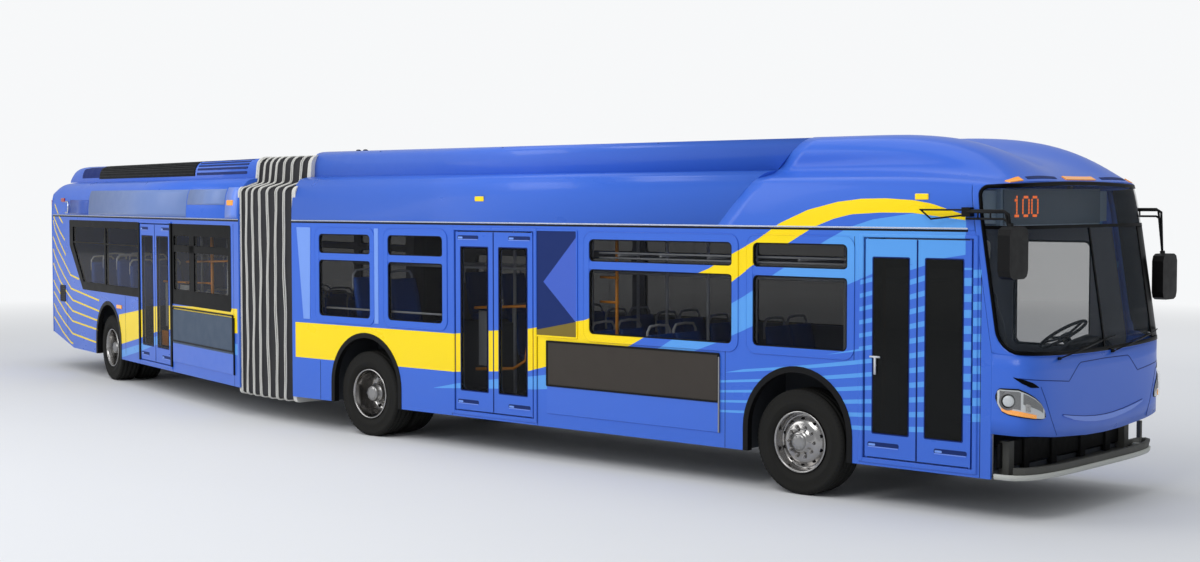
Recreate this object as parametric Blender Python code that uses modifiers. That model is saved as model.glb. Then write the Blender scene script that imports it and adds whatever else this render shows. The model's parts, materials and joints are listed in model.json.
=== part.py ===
"""Articulated low-floor city bus: two sections on a turntable, three axles, three doorways and a bellows.

X runs forward, Y to the left and Z up, in metres. Lengths along the bus are measured from the front axle,
as on a bus that stands straight. The rear section is then turned about the turntable as it is parked.
"""

from math import cos, pi, radians, sin, tan

import bmesh
import bpy
import numpy as np
from mathutils import Matrix, Vector

# Overall sizes
WIDTH = 2.59
WALL = 0.05
SKIRT_Z = 0.36
RAIL_Z = 2.44
FLOOR_THICK = 0.06
SEAT_GAP = 0.0003
OVERRUN = 0.05

# Lengths along the bus, from the front axle
FRONT_CORNER_X = 1.98
NOSE_DEPTH = 0.39
FRONT_REAR_X = -7.32
REAR_FRONT_X = -8.27
TAIL_CORNER_X = -16.34
TAIL_DEPTH = 0.26
MIDDLE_AXLE_X = -5.99
REAR_AXLE_X = -13.50
PARKED_BEND = radians(-14.98)

# Nose and windscreen: heights at the corners and at the middle
BELT_Z = 1.42
BELT_MIDDLE_Z = 1.345
MASK_BOTTOM_Z = 0.80
MASK_BOTTOM_MIDDLE_Z = 0.67
SCREEN_TOP_Z = 2.80
SCREEN_TOP_MIDDLE_Z = 2.88
SCREEN_GAP = 0.0015
LEAN_SHARE = 0.157
NOSE_WALL = 0.04
GLASS_THICK = 0.012
NOSE_STEPS = 12

# Headlamps: steps from the corner inwards, the edges' heights there, and how far they stand out
LAMP_STEP_SHARES = (0.2, 1.05, 2.05, 3.05, 3.5)
LAMP_LOW_SHARES = (0.34, 0.10, 0.03, 0.0, 0.16)
LAMP_HIGH_SHARES = (0.92, 0.98, 0.80, 0.48, 0.30)
LAMP_Z = 0.87
LAMP_HEIGHT = 0.25
LAMP_PROUD = 0.01

# Roof
ROOF_THICK = 0.05
ROOF_RISE = 0.59
ROOF_EDGE_SHARES = (
    (1.0, 0.0),
    (0.994, 0.30),
    (0.975, 0.58),
    (0.927, 0.78),
    (0.834, 0.89),
    (0.463, 0.966),
    (0.0, 1.0),
)
ROOF_SIDE_STEPS = 2
CAP_ROW_SHARES = (0.0, 0.25, 0.5, 0.7, 0.86, 0.95, 1.0)
CAP_FALL_POWER = 4.5
TAIL_ROW_SHARES = (0.45, 0.8, 1.0)
TAIL_FALL_POWER = 2.2
TAIL_COLUMN_SHARES = (0.927, 0.834, 0.65, 0.463, 0.23, 0.0)
TAIL_CAP_LENGTH = 0.34
TAIL_TOP_Z = 2.78
TAIL_TOP_MIDDLE_Z = 2.86

# Roof fairings
FAIRING_HALF = 0.98
FAIRING_TOP_Z = 3.29
FAIRING_REAR_TOP_Z = 3.24
FAIRING_SPLIT_X = -0.45
FAIRING_SPLIT_Z = 2.98
SPLIT_LEAN = 0.9
FAIRING_SIDE_SHARES = ((1.0, 0.0), (0.98, 0.58), (0.88, 0.93), (0.55, 1.0))
VALLEY_SHARE = 0.62
TAIL_FAIRING_SHARES = ((0.30, 1.0), (0.05, 0.8), (-0.06, 0.4))

# Wheels
ROLL_HEIGHT = 0.4864
TYRE_WIDTH = 0.305
RIM_RADIUS = 0.286
WHEEL_SIDES = 24
TRACK_HALF = 1.10
TWIN_SPACING = 0.345
TYRE_SECTION_SHARES = ((0.0, 0.80), (0.6, 1.0), (1.0, 0.82))
SPACER_THICK = 0.01
LIP_INSET = 0.02
LIP_RADIUS = 0.262
WELL_RADIUS = 0.245
DISC_RADIUS = 0.20
DISC_THICK = 0.025
DISC_INSET = 0.015
WELL_INSET = 0.06
HUB_RADIUS = 0.105
HUB_IN = 0.03
CAP_RADIUS = 0.085
CAP_OUT = 0.015
TWIN_CAP_INSET = 0.005
TWIN_DISC_OUT = -0.12
TWIN_DISC_THICK = 0.05
TWIN_WELL_DEPTH = 0.08
TWIN_HUB_IN = -0.26
BORE_RADIUS = 0.0408
BORE_OUT = 0.09
SPINDLE_RADIUS = 0.040
ROUND_SIDES = 12
KINGPIN_INSET = 0.08
BOSS_RADIUS = 0.045
ARM_LENGTH = 0.15
BOSS_HEIGHT = 0.12
KNUCKLE_THICK = 0.024
PLAY = 0.01

# Wheel arches and wheelhouses
ARCH_RADIUS = 0.595
ARCH_CENTRE_Z = 0.58
ARCH_STEPS = 10
HOUSE_HALF = 0.64
HOUSE_TOP_Z = 1.21
HOUSE_WALL = 0.02
FRONT_HOUSE_REACH = 0.52
TWIN_HOUSE_REACH = 0.55

# Axles
BEAM_BOTTOM_Z = 0.25
BEAM_TOP_Z = 0.35
BEAM_HALF = 0.05
PAD_Y = 0.42
PAD_HALF = 0.07
REAR_TUBE_RADIUS = 0.06
DIFFERENTIAL_RADIUS = 0.20
DIFFERENTIAL_RINGS = 8

# Doorways: rear edge, front edge; sill and head heights
FRONT_DOOR_X = (0.73, 1.80)
MIDDLE_DOOR_X = (-4.50, -3.33)
REAR_DOOR_X = (-12.01, -10.75)
SILL_Z = 0.43
HEAD_Z = 2.37
LEAF_THICK = 0.04
LEAF_GAP = 0.010
LEAF_PROUD = 0.004
PIN_INSET = 0.012
PIN_RADIUS = 0.008
PIN_SIDES = 8
LEAF_FRAME = 0.085
LEAF_GLASS_BOTTOM_Z = 0.66
LEAF_GLASS_TOP_Z = 2.19

# Windows: rear edge, front edge
WINDOW_BOTTOM_Z = 1.35
WINDOW_TOP_Z = 2.31
TRANSOM_BOTTOM_Z = 2.01
TRANSOM_TOP_Z = 2.08
WINDOW_ROUND = 0.05
FRONT_RIGHT_WINDOWS = ((-6.81, -5.90), (-5.60, -4.70), (-2.55, -0.74), (-0.50, 0.55))
FRONT_LEFT_WINDOWS = ((-6.81, -5.90), (-5.60, -4.16), (-3.98, -2.54), (-2.36, -0.92), (-0.74, 0.55))
DRIVER_WINDOW_X = (0.80, 1.62)
DRIVER_WINDOW_BOTTOM_Z = 1.28
REAR_LONG_WINDOW_X = (-15.36, -12.06)
REAR_SLANT_X = 0.62
REAR_SLANT_Z = 0.62
REAR_SHORT_WINDOW_X = (-10.67, -8.56)
REAR_LEFT_WINDOWS = ((-15.00, -13.56), (-13.38, -11.94), (-11.76, -10.32), (-10.14, -8.70))
GLAZING_THICK = 0.008
GLAZING_LAP = 0.04

# Boards on the sides
BOARD_THICK = 0.012
BOARD_BOTTOM_Z = 0.79
BOARD_TOP_Z = 1.25
FRONT_BOARD_X = (-3.13, -0.89)
REAR_BOARD_X = (-10.66, -8.46)
REAR_BOARD_DROP = 0.03

# Raised floor over the rear axle and the engine shelf
STEP_X = -12.55
RAISED_FLOOR_Z = 0.78
SHELF_X = -14.55
SHELF_Z = 1.28
SKIRT_RISE_X = -15.28
TAIL_BOTTOM_Z = 0.55
ENGINE_X = (-16.15, -14.75)
ENGINE_HALF = 0.50
ENGINE_BOTTOM_Z = 0.46

# Turntable and bellows
TURNTABLE_RADIUS = 0.42
TURNTABLE_THICK = 0.04
TURNTABLE_Z = 0.385
TURNTABLE_SIDES = 24
TONGUE_SHARE = 0.88
BELLOWS_FOLDS = 8
BELLOWS_DEPTH = 0.09
BELLOWS_THICK = 0.012
BELLOWS_HALF = 1.28
BELLOWS_BOTTOM_Z = 0.28
BELLOWS_UNDER_SHARE = 0.5
BELLOWS_TOP_Z = 3.25
BELLOWS_SHOULDER_Z = 2.88
BELLOWS_SHOULDER_HALF = 1.05
BELLOWS_LEDGE_RISE = 0.04
BELLOWS_TOP_CHAMFER = 0.07

# Seats and handrails
SEAT_WIDTH = 0.41
SEAT_DEPTH = 0.44
SEAT_HEIGHT = 0.44
SEAT_BACK = 0.66
SEAT_PAD = 0.06
SEAT_PITCH = 0.74
SEAT_RAIL = 0.04
RAIL_SIDES = 6
RAIL_RADIUS = 0.016
POST_RADIUS = 0.0185
CROSS_RADIUS = 0.014
RAIL_HEIGHT = 1.93
RAIL_INSET = 0.045

# Driver's place
PLATFORM_Z = 0.62
DRIVER_SEAT_X = 0.95
DASH_X = (1.66, 1.97)
DASH_Z = 1.24
COWL_Y = (0.38, 1.18)
COWL_Z = 1.45
STEERING_PLACE = (1.68, 0.72, 1.43)
STEERING_TILT = radians(32)
STEERING_RADIUS = 0.23
STEERING_TUBE = 0.014
SPOKE_SHARE = 0.8
COLUMN_RADIUS = 0.03
COLUMN_LENGTH = 0.42
WHEEL_RIM_STEPS = 16

# Destination sign's housing above the windscreen
SIGN_X = (1.58, 1.86)
SIGN_HALF = 0.93
SIGN_Z = (2.47, 2.80)
HANGER_HALF = 0.05
HANGER_Y = 0.5
HANGER_TOP_Z = 3.0

# Mirrors: middle of each head, and the hub on the pillar
MIRROR_X = 2.26
MIRROR_Y = 1.46
MIRROR_SIZE = (0.11, 0.31, 0.43)
MIRROR_ROUND = 0.07
RIGHT_MIRROR_Z = 2.27
LEFT_MIRROR_Z = 1.98
MIRROR_HUB_X = 1.76
MIRROR_HUB_Z = 2.60
MIRROR_HUB = 0.08
MIRROR_TUBE = 0.011
LOOP_BACK_X = 1.32
LOOP_OUT = 0.05
LOOP_DROP = 0.10
LOOP_SHARE = 0.7

# Undertray of the open front bumper
TRAY_THICK = 0.02
TRAY_LIP_Z = 0.47
TRAY_LIP_THICK = 0.025
TRAY_POST_HALF = 0.045
TRAY_POST_INSET = 0.195
BLADE_OUT = 0.16
BLADE_THICK = 0.03
BLADE_TOP_Z = 0.60

HALF = WIDTH / 2
INNER = HALF - WALL
FLOOR_Z = SKIRT_Z + FLOOR_THICK
PIVOT_X = (FRONT_REAR_X + REAR_FRONT_X) / 2
FRONT_HOUSE_Y = TRACK_HALF - FRONT_HOUSE_REACH
TWIN_HOUSE_Y = TRACK_HALF - TWIN_HOUSE_REACH
KINGPIN_Y = TRACK_HALF - KINGPIN_INSET
RAIL_Y = INNER - 2 * SEAT_WIDTH - RAIL_INSET
TRAY_POST_Y = HALF - TRAY_POST_INSET

PARTS = "articulated_bus"
CUTTERS = "cutters"


def clear_scene():
    for obj in list(bpy.data.objects):
        bpy.data.objects.remove(obj)


def collection(name):
    made = bpy.data.collections.new(name)
    bpy.context.scene.collection.children.link(made)
    return made


def paint(name, colour, roughness, metallic=0.0, alpha=1.0):
    made = bpy.data.materials.new(name)
    made.use_nodes = True
    shader = made.node_tree.nodes["Principled BSDF"]
    shader.inputs["Base Color"].default_value = (*colour, 1.0)
    shader.inputs["Roughness"].default_value = roughness
    shader.inputs["Metallic"].default_value = metallic
    shader.inputs["Alpha"].default_value = alpha
    return made


def blue():
    return paint("body_blue", (0.065, 0.155, 0.68), 0.3)


def steel(name="steel"):
    return paint(name, (0.55, 0.56, 0.58), 0.35, 1.0)


def black(name="black_trim"):
    return paint(name, (0.015, 0.015, 0.018), 0.5)


def grey(name="grey_panel"):
    return paint(name, (0.30, 0.31, 0.33), 0.6)


def glass():
    return paint("glass", (0.05, 0.06, 0.07), 0.05, 0.0, 0.35)


def add(name, data, material, frame):
    """A named object of the bus, held by the empty of its section."""
    obj = bpy.data.objects.new(name, data)
    bpy.data.collections[PARTS].objects.link(obj)
    data.materials.append(material)
    hold(obj, frame)
    return obj


def hold(obj, frame):
    """Parents to a section's empty, which may stand elsewhere: places stay measured along the bus."""
    obj.parent = frame
    obj.matrix_parent_inverse = Matrix.Translation(-Vector(frame["rest_place"]))


def section(name, place, turn, parent=None):
    empty = bpy.data.objects.new(name, None)
    bpy.data.collections[PARTS].objects.link(empty)
    empty.location = place
    empty.rotation_euler = (0, 0, turn)
    empty["rest_place"] = place
    empty.parent = parent
    return empty


def box_mesh(name, xs, ys, zs):
    mesh = bpy.data.meshes.new(name)
    bm = bmesh.new()
    bmesh.ops.create_cube(bm, size=1)
    low = Vector((min(xs), min(ys), min(zs)))
    high = Vector((max(xs), max(ys), max(zs)))
    bmesh.ops.scale(bm, vec=high - low, verts=bm.verts)
    bmesh.ops.translate(bm, vec=(low + high) / 2, verts=bm.verts)
    bm.to_mesh(mesh)
    bm.free()
    return mesh


def rod_mesh(name, start, end, radius, sides):
    """A cylinder between two points."""
    start, end = Vector(start), Vector(end)
    mesh = bpy.data.meshes.new(name)
    bm = bmesh.new()
    bmesh.ops.create_cone(
        bm, cap_ends=True, segments=sides, radius1=radius, radius2=radius, depth=(end - start).length
    )
    turn = (end - start).to_track_quat("Z", "Y").to_matrix().to_4x4()
    bmesh.ops.transform(bm, matrix=Matrix.Translation((start + end) / 2) @ turn, verts=bm.verts)
    bm.to_mesh(mesh)
    bm.free()
    return mesh


def helper(mesh, frame):
    """A shape that cuts or joins, and isn't a piece itself."""
    obj = bpy.data.objects.new(mesh.name + "_tool", mesh)
    bpy.data.collections[CUTTERS].objects.link(obj)
    obj.hide_render = True
    obj.display_type = "WIRE"
    hold(obj, frame)
    return obj


def combine(obj, mesh, frame, operation="UNION", place=(0, 0, 0)):
    tool = helper(mesh, frame)
    tool.location = place
    step = obj.modifiers.new(mesh.name, "BOOLEAN")
    step.operation = operation
    step.object = tool


def cut(obj, mesh, frame, place=(0, 0, 0)):
    combine(obj, mesh, frame, "DIFFERENCE", place)


def rounded(points, radius, steps=2):
    """The outline with each corner replaced by an arc of this radius."""
    out = []
    count = len(points)
    for i, here in enumerate(points):
        here = Vector(here)
        before = (Vector(points[i - 1]) - here).normalized()
        after = (Vector(points[(i + 1) % count]) - here).normalized()
        half = before.angle(after) / 2
        reach = radius / tan(half)
        centre = here + (before + after).normalized() * radius / sin(half)
        first = here + before * reach - centre
        last = here + after * reach - centre
        for k in range(steps + 1):
            arm = first.lerp(last, k / steps).normalized() * radius
            out.append(tuple(centre + arm))
    return out


def rectangle(xs, zs):
    return [(xs[0], zs[0]), (xs[1], zs[0]), (xs[1], zs[1]), (xs[0], zs[1])]


def flat_curve(name, outline, holes, thickness):
    curve = bpy.data.curves.new(name, "CURVE")
    curve.dimensions = "2D"
    curve.fill_mode = "BOTH"
    curve.extrude = thickness / 2
    for points in [outline, *holes]:
        spline = curve.splines.new("POLY")
        spline.points.add(len(points) - 1)
        for point, (across, up) in zip(spline.points, points):
            point.co = (across, up, 0, 1)
        spline.use_cyclic_u = True
    return curve


def plate(name, outline, holes, material, middle_y, thickness, frame):
    """An upright plate: its outline is in x and z, and its thickness runs along y."""
    obj = add(name, flat_curve(name, outline, holes, thickness), material, frame)
    obj.rotation_euler = (pi / 2, 0, 0)
    obj.location = (0, middle_y, 0)
    return obj


def shell_mesh(name, outer, inner):
    """A closed shell between two grids of points that share their row and column counts."""
    outer, inner = np.array(outer, float), np.array(inner, float)
    rows, columns = outer.shape[:2]
    points = np.concatenate([outer.reshape(-1, 3), inner.reshape(-1, 3)])
    back = rows * columns

    def at(row, column, side):
        return row * columns + column + side * back

    faces = []
    for r in range(rows - 1):
        for c in range(columns - 1):
            faces.append([at(r, c, 0), at(r, c + 1, 0), at(r + 1, c + 1, 0), at(r + 1, c, 0)])
            faces.append([at(r, c, 1), at(r + 1, c, 1), at(r + 1, c + 1, 1), at(r, c + 1, 1)])
    rim = [(0, c) for c in range(columns)]
    rim += [(r, columns - 1) for r in range(1, rows)]
    rim += [(rows - 1, c) for c in range(columns - 2, -1, -1)]
    rim += [(r, 0) for r in range(rows - 2, 0, -1)]
    for (r0, c0), (r1, c1) in zip(rim, rim[1:] + rim[:1]):
        faces.append([at(r0, c0, 0), at(r0, c0, 1), at(r1, c1, 1), at(r1, c1, 0)])
    return faces_mesh(name, points, faces)


def prism_mesh(name, low_ring, high_ring):
    """A solid between two like rings, with flat ends."""
    count = len(low_ring)
    faces = [list(range(count)), [2 * count - 1 - i for i in range(count)]]
    faces += [[i, (i + 1) % count, count + (i + 1) % count, count + i] for i in range(count)]
    return faces_mesh(name, low_ring + high_ring, faces)


def tube_mesh(name, path, normal, radius, sides, closed=False):
    """A bent tube along a flat path. The normal is square to the plane of the path."""
    normal = Vector(normal).normalized()
    path = [Vector(point) for point in path]
    count = len(path)
    points = []
    for i, here in enumerate(path):
        going = path[(i + 1) % count] - here
        coming = here - path[i - 1]
        if not closed and i == 0:
            coming = going
        if not closed and i == count - 1:
            going = coming
        going.normalize()
        along = (coming.normalized() + going).normalized()
        across = along.cross(normal) / along.dot(going)
        for k in range(sides):
            turn = 2 * pi * k / sides
            points.append(here + radius * (cos(turn) * across + sin(turn) * normal))
    faces = []
    for r in range(count if closed else count - 1):
        first, second = r * sides, (r + 1) % count * sides
        for k in range(sides):
            m = (k + 1) % sides
            faces.append([first + k, first + m, second + m, second + k])
    if not closed:
        faces.append(list(range(sides)))
        faces.append([len(points) - 1 - k for k in range(sides)])
    return faces_mesh(name, points, faces)


def faces_mesh(name, points, faces):
    mesh = bpy.data.meshes.new(name)
    bm = bmesh.new()
    verts = [bm.verts.new(point) for point in points]
    for face in faces:
        bm.faces.new([verts[i] for i in face])
    bmesh.ops.recalc_face_normals(bm, faces=bm.faces)
    bm.to_mesh(mesh)
    bm.free()
    return mesh


def loft(name, rings, material, frame):
    """A solid skinned over closed rings of equal counts, with flat ends."""
    count = len(rings[0])
    points = [point for ring in rings for point in ring]
    faces = [list(range(count)), [len(points) - 1 - i for i in range(count)]]
    for r in range(len(rings) - 1):
        for c in range(count):
            d = (c + 1) % count
            faces.append([r * count + c, r * count + d, (r + 1) * count + d, (r + 1) * count + c])
    return add(name, faces_mesh(name, points, faces), material, frame)


def turned(name, profile, place, side, material, frame):
    """A turned piece on a wheel axle. Its profile holds radius and distance out from the wheel's middle."""
    mesh = bpy.data.meshes.new(name)
    half_step = pi / WHEEL_SIDES
    closed_loop = profile[0][0] > 0
    points = [(radius * cos(half_step), radius * sin(half_step), out) for radius, out in profile]
    edges = [(i, i + 1) for i in range(len(points) - 1)]
    if closed_loop:
        edges.append((len(points) - 1, 0))
    mesh.from_pydata(points, edges, [])
    obj = add(name, mesh, material, frame)
    step = obj.modifiers.new("turn", "SCREW")
    step.axis = "Z"
    step.angle = 2 * pi
    step.steps = WHEEL_SIDES
    step.render_steps = WHEEL_SIDES
    step.use_merge_vertices = True
    step.merge_threshold = 0.0001
    obj.rotation_euler = (-side * pi / 2, 0, 0)
    obj.location = place
    return obj


def half_width(z):
    """Half of the body's width at this height: full up to the rail, then in with the roof's edge."""
    across, up = zip(*ROOF_EDGE_SHARES)
    return HALF * float(np.interp((z - RAIL_Z) / ROOF_RISE, up, across))


def pillar_x(z):
    """The front edge of the body's sides, which leans back above the belt."""
    return FRONT_CORNER_X - LEAN_SHARE * max(z - BELT_Z, 0)


def ring_shares(step):
    """Where a step round the nose stands: its shares of the width and of the depth."""
    turn = -pi / 2 + pi * step / NOSE_STEPS
    across = abs(sin(turn)) ** 0.5 * (1 if turn > 0 else -1)
    forward = abs(cos(turn)) ** 0.5 if 0 < step < NOSE_STEPS else 0
    return across, forward


def facet_shares(step):
    """The same for a place between two steps, on the flat facet that joins them."""
    low = int(step)
    pairs = zip(ring_shares(low), ring_shares(low + 1))
    return [first + (second - first) * (step - low) for first, second in pairs]


def end_ring(inset, corner_z, middle_z, depth, corner_x):
    """Points round an end of the bus from right to left, on a squared ellipse in plan.

    The height goes from the corners' to the middle's, and corner_x gives the corner's place at a height.
    """
    ring = []
    for step in range(NOSE_STEPS + 1):
        across, forward = ring_shares(step)
        z = corner_z + (middle_z - corner_z) * sin(pi * step / NOSE_STEPS)
        x = corner_x(z) + (depth - inset) * forward
        ring.append((x, (half_width(z) - inset) * across, z))
    return ring


def nose_ring(inset, corner_z, middle_z, gap=SEAT_GAP):
    return end_ring(inset, corner_z, middle_z, NOSE_DEPTH, lambda z: pillar_x(z) + gap)


def roof_edge(inset):
    """Points over the roof from the right rail to the left rail, in y and z."""
    last = len(ROOF_EDGE_SHARES) - 1
    half = []
    for k, (across, up) in enumerate(ROOF_EDGE_SHARES):
        drop = inset if k > ROOF_SIDE_STEPS else 0
        half.append((HALF * across - (inset if k < last else 0), RAIL_Z + ROOF_RISE * up - drop))
    return [(-y, z) for y, z in half[:-1]] + half[::-1]


def roof_height(y, inset=0.0):
    """Height of the roof's outer skin, or of its lining, at this distance from the middle."""
    ys, zs = zip(*roof_edge(inset)[len(ROOF_EDGE_SHARES) - 1:])
    return float(np.interp(abs(y), ys, zs))


def arch(x):
    """The wheel arch's points along the skirt, from front to rear."""
    points = [(x + ARCH_RADIUS, SKIRT_Z)]
    for k in range(ARCH_STEPS + 1):
        turn = pi * k / ARCH_STEPS
        points.append((x + ARCH_RADIUS * cos(turn), ARCH_CENTRE_Z + ARCH_RADIUS * sin(turn)))
    points.append((x - ARCH_RADIUS, SKIRT_Z))
    return points


def window_holes(windows):
    """Each window has a long lower light and a short upper one, with the transom between them."""
    holes = []
    for xs in windows:
        holes.append(rounded(rectangle(xs, (WINDOW_BOTTOM_Z, TRANSOM_BOTTOM_Z)), WINDOW_ROUND))
        holes.append(rounded(rectangle(xs, (TRANSOM_TOP_Z, WINDOW_TOP_Z)), WINDOW_ROUND))
    return holes


def front_side_outline():
    outline = [(FRONT_CORNER_X, SKIRT_Z), *arch(0.0), *arch(MIDDLE_AXLE_X), (FRONT_REAR_X, SKIRT_Z)]
    return outline + [(FRONT_REAR_X, RAIL_Z), (pillar_x(RAIL_Z), RAIL_Z), (FRONT_CORNER_X, BELT_Z)]


def front_sides(frame):
    doorways = [rectangle(xs, (SILL_Z, HEAD_Z)) for xs in (FRONT_DOOR_X, MIDDLE_DOOR_X)]
    holes = window_holes(FRONT_RIGHT_WINDOWS) + doorways
    plate("front_side_right", front_side_outline(), holes, blue(), -HALF + WALL / 2, WALL, frame)
    driver = rectangle(DRIVER_WINDOW_X, (DRIVER_WINDOW_BOTTOM_Z, WINDOW_TOP_Z))
    holes = window_holes(FRONT_LEFT_WINDOWS) + [rounded(driver, WINDOW_ROUND)]
    plate("front_side_left", front_side_outline(), holes, blue(), HALF - WALL / 2, WALL, frame)


def rear_side_outline():
    skirt = [(REAR_FRONT_X, SKIRT_Z), *arch(REAR_AXLE_X), (SKIRT_RISE_X, SKIRT_Z)]
    return skirt + [(TAIL_CORNER_X, TAIL_BOTTOM_Z), (TAIL_CORNER_X, RAIL_Z), (REAR_FRONT_X, RAIL_Z)]


def rear_sides(frame):
    rear_x, front_x = REAR_LONG_WINDOW_X
    long_light = [
        (rear_x + REAR_SLANT_X, WINDOW_BOTTOM_Z),
        (front_x, WINDOW_BOTTOM_Z),
        (front_x, WINDOW_TOP_Z),
        (rear_x, WINDOW_TOP_Z),
        (rear_x, WINDOW_BOTTOM_Z + REAR_SLANT_Z),
    ]
    holes = [rounded(long_light, WINDOW_ROUND), rectangle(REAR_DOOR_X, (SILL_Z, HEAD_Z))]
    holes += window_holes([REAR_SHORT_WINDOW_X])
    plate("rear_side_right", rear_side_outline(), holes, blue(), -HALF + WALL / 2, WALL, frame)
    holes = window_holes(REAR_LEFT_WINDOWS)
    plate("rear_side_left", rear_side_outline(), holes, blue(), HALF - WALL / 2, WALL, frame)


def glazing(name, windows, side, frame, bottom=WINDOW_BOTTOM_Z):
    """One band of glass behind the windows of a side."""
    xs = (min(w[0] for w in windows) - GLAZING_LAP, max(w[1] for w in windows) + GLAZING_LAP)
    outline = rectangle(xs, (bottom - GLAZING_LAP, WINDOW_TOP_Z + GLAZING_LAP))
    middle = side * (INNER - SEAT_GAP - GLAZING_THICK / 2)
    plate(name, outline, [], glass(), middle, GLAZING_THICK, frame)


def split_x(z):
    """The leaning plane where the roof and its fairing meet the front cap."""
    return FAIRING_SPLIT_X + SPLIT_LEAN * (z - FAIRING_SPLIT_Z)


def raised(grid):
    """Lifts a roof's grid by the seat gap, off the sides' top edges."""
    return [[(x, y, z + SEAT_GAP) for x, y, z in row] for row in grid]


def front_roof(frame):
    grids = []
    for inset in (0.0, ROOF_THICK):
        edge = roof_edge(inset)
        rear = [(FRONT_REAR_X, y, z) for y, z in edge]
        grids.append(raised([rear, [(split_x(z) - SEAT_GAP, y, z) for y, z in edge]]))
    add("front_roof", shell_mesh("front_roof", *grids), blue(), frame)


def mirrored(right):
    """Adds the left half to a row of points that runs from the right side to the middle."""
    return right + [(x, -y, z) for x, y, z in right[-2::-1]]


def side_heights(corner_z):
    steps = ROOF_SIDE_STEPS
    return [RAIL_Z + (corner_z - RAIL_Z) * k / steps for k in range(steps)]


def cap_rows(start, end, shares, fall_power):
    """Rows from a roof's section to the top ring of an end wall. Each column falls away ever faster."""
    rows = []
    for share in shares:
        row = []
        for (x0, y0, z0), (x1, y1, z1) in zip(start, end):
            fallen = share**fall_power
            row.append((x0 + (x1 - x0) * share, y0 + (y1 - y0) * share**2, z0 + (z1 - z0) * fallen))
        rows.append(row)
    return raised(rows)


def end_edge(inset, ring, corner_x):
    """The whole edge that a cap comes down to: up one pillar, over the ring and down the other pillar."""
    pillar = [(corner_x(z), -(half_width(z) - inset), z) for z in side_heights(ring[0][2])]
    middle = NOSE_STEPS // 2
    return mirrored(pillar + ring[: middle + 1])


def fairing_side(top_z, half=FAIRING_HALF):
    """The fairing's section on one side, from its foot on the roof to the flat top."""
    foot_z = roof_height(half) + 2 * SEAT_GAP
    return [(half * across, foot_z + (top_z - foot_z) * up) for across, up in FAIRING_SIDE_SHARES]


def front_cap(frame):
    """Roof moulding over the driver: two pods, the valley between them and the sign's housing below."""
    shoulder = HALF * ROOF_EDGE_SHARES[ROOF_SIDE_STEPS + 1][0]
    over = [(half_width(SCREEN_TOP_Z), SCREEN_TOP_Z), (shoulder, roof_height(shoulder))]
    over += fairing_side(FAIRING_TOP_Z)
    foot_z = over[2][1]
    over.append((0.0, foot_z + (FAIRING_TOP_Z - foot_z) * VALLEY_SHARE))
    sides = [(half_width(z), z) for z in side_heights(SCREEN_TOP_Z)]
    outer_half = sides + over
    inner_half = [(y - ROOF_THICK, z) for y, z in sides]
    for y, z in over:
        y = y * (HALF - ROOF_THICK) / HALF
        inner_half.append((y, min(roof_height(y, ROOF_THICK), z)))
    grids = []
    for inset, half in ((0.0, outer_half), (ROOF_THICK, inner_half)):
        start = mirrored([(split_x(z), -y, z) for y, z in half])
        ring = nose_ring(inset, SCREEN_TOP_Z, SCREEN_TOP_MIDDLE_Z, 0.0)
        grids.append(cap_rows(start, end_edge(inset, ring, pillar_x), CAP_ROW_SHARES, CAP_FALL_POWER))
    obj = add("front_cap", shell_mesh("front_cap", *grids), blue(), frame)
    combine(obj, box_mesh("sign_housing", SIGN_X, (-SIGN_HALF, SIGN_HALF), SIGN_Z), frame)
    middle_x = sum(SIGN_X) / 2
    for side in (-1, 1):
        xs = (middle_x - HANGER_HALF, middle_x + HANGER_HALF)
        ys = (side * HANGER_Y - HANGER_HALF, side * HANGER_Y + HANGER_HALF)
        zs = (SIGN_Z[1] - OVERRUN, HANGER_TOP_Z)
        combine(obj, box_mesh(f"sign_hanger_{side}", xs, ys, zs), frame)


def rear_roof(frame):
    """The rear section's roof, which rounds down to the top of the rear wall."""
    grids = []
    for inset in (0.0, ROOF_THICK):
        ring = tail_ring(inset, TAIL_TOP_Z, TAIL_TOP_MIDDLE_Z, 0.0)
        sides = [(half_width(z) - inset, z) for z in side_heights(TAIL_TOP_Z)]
        over = [(half_width(TAIL_TOP_Z) - inset, TAIL_TOP_Z)]
        for across in TAIL_COLUMN_SHARES:
            y = HALF * across - (inset if across else 0)
            over.append((y, roof_height(y, inset)))
        half = sides + over
        ahead = mirrored([(REAR_FRONT_X, -y, z) for y, z in half])
        start = mirrored([(TAIL_CORNER_X + TAIL_CAP_LENGTH, -y, z) for y, z in half])
        end = end_edge(inset, ring, lambda z: TAIL_CORNER_X)
        grids.append(raised([ahead, start]) + cap_rows(start, end, TAIL_ROW_SHARES, TAIL_FALL_POWER))
    add("rear_roof", shell_mesh("rear_roof", *grids), blue(), frame)


def nose(frame):
    """The blue mask with its lamp housings, and the windscreen above it with the sign glass."""
    rows = ((MASK_BOTTOM_Z, MASK_BOTTOM_MIDDLE_Z), (BELT_Z - SCREEN_GAP, BELT_MIDDLE_Z - SCREEN_GAP))
    outer = [nose_ring(0.0, *heights) for heights in rows]
    inner = [nose_ring(NOSE_WALL, *heights) for heights in rows]
    mask = add("front_mask", shell_mesh("front_mask", outer, inner), blue(), frame)
    for side in (-1, 1):
        combine(mask, lamp_mesh(side), frame)
    rows = ((BELT_Z, BELT_MIDDLE_Z), (RAIL_Z, RAIL_Z), (SCREEN_TOP_Z, SCREEN_TOP_MIDDLE_Z))
    outer = raised([nose_ring(0.0, *heights) for heights in rows])
    inner = raised([nose_ring(GLASS_THICK, *heights) for heights in rows])
    for grid in (outer, inner):
        grid[-1] = [(x, y, z - SCREEN_GAP) for x, y, z in grid[-1]]
    add("windscreen", shell_mesh("windscreen", outer, inner), glass(), frame)


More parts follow.
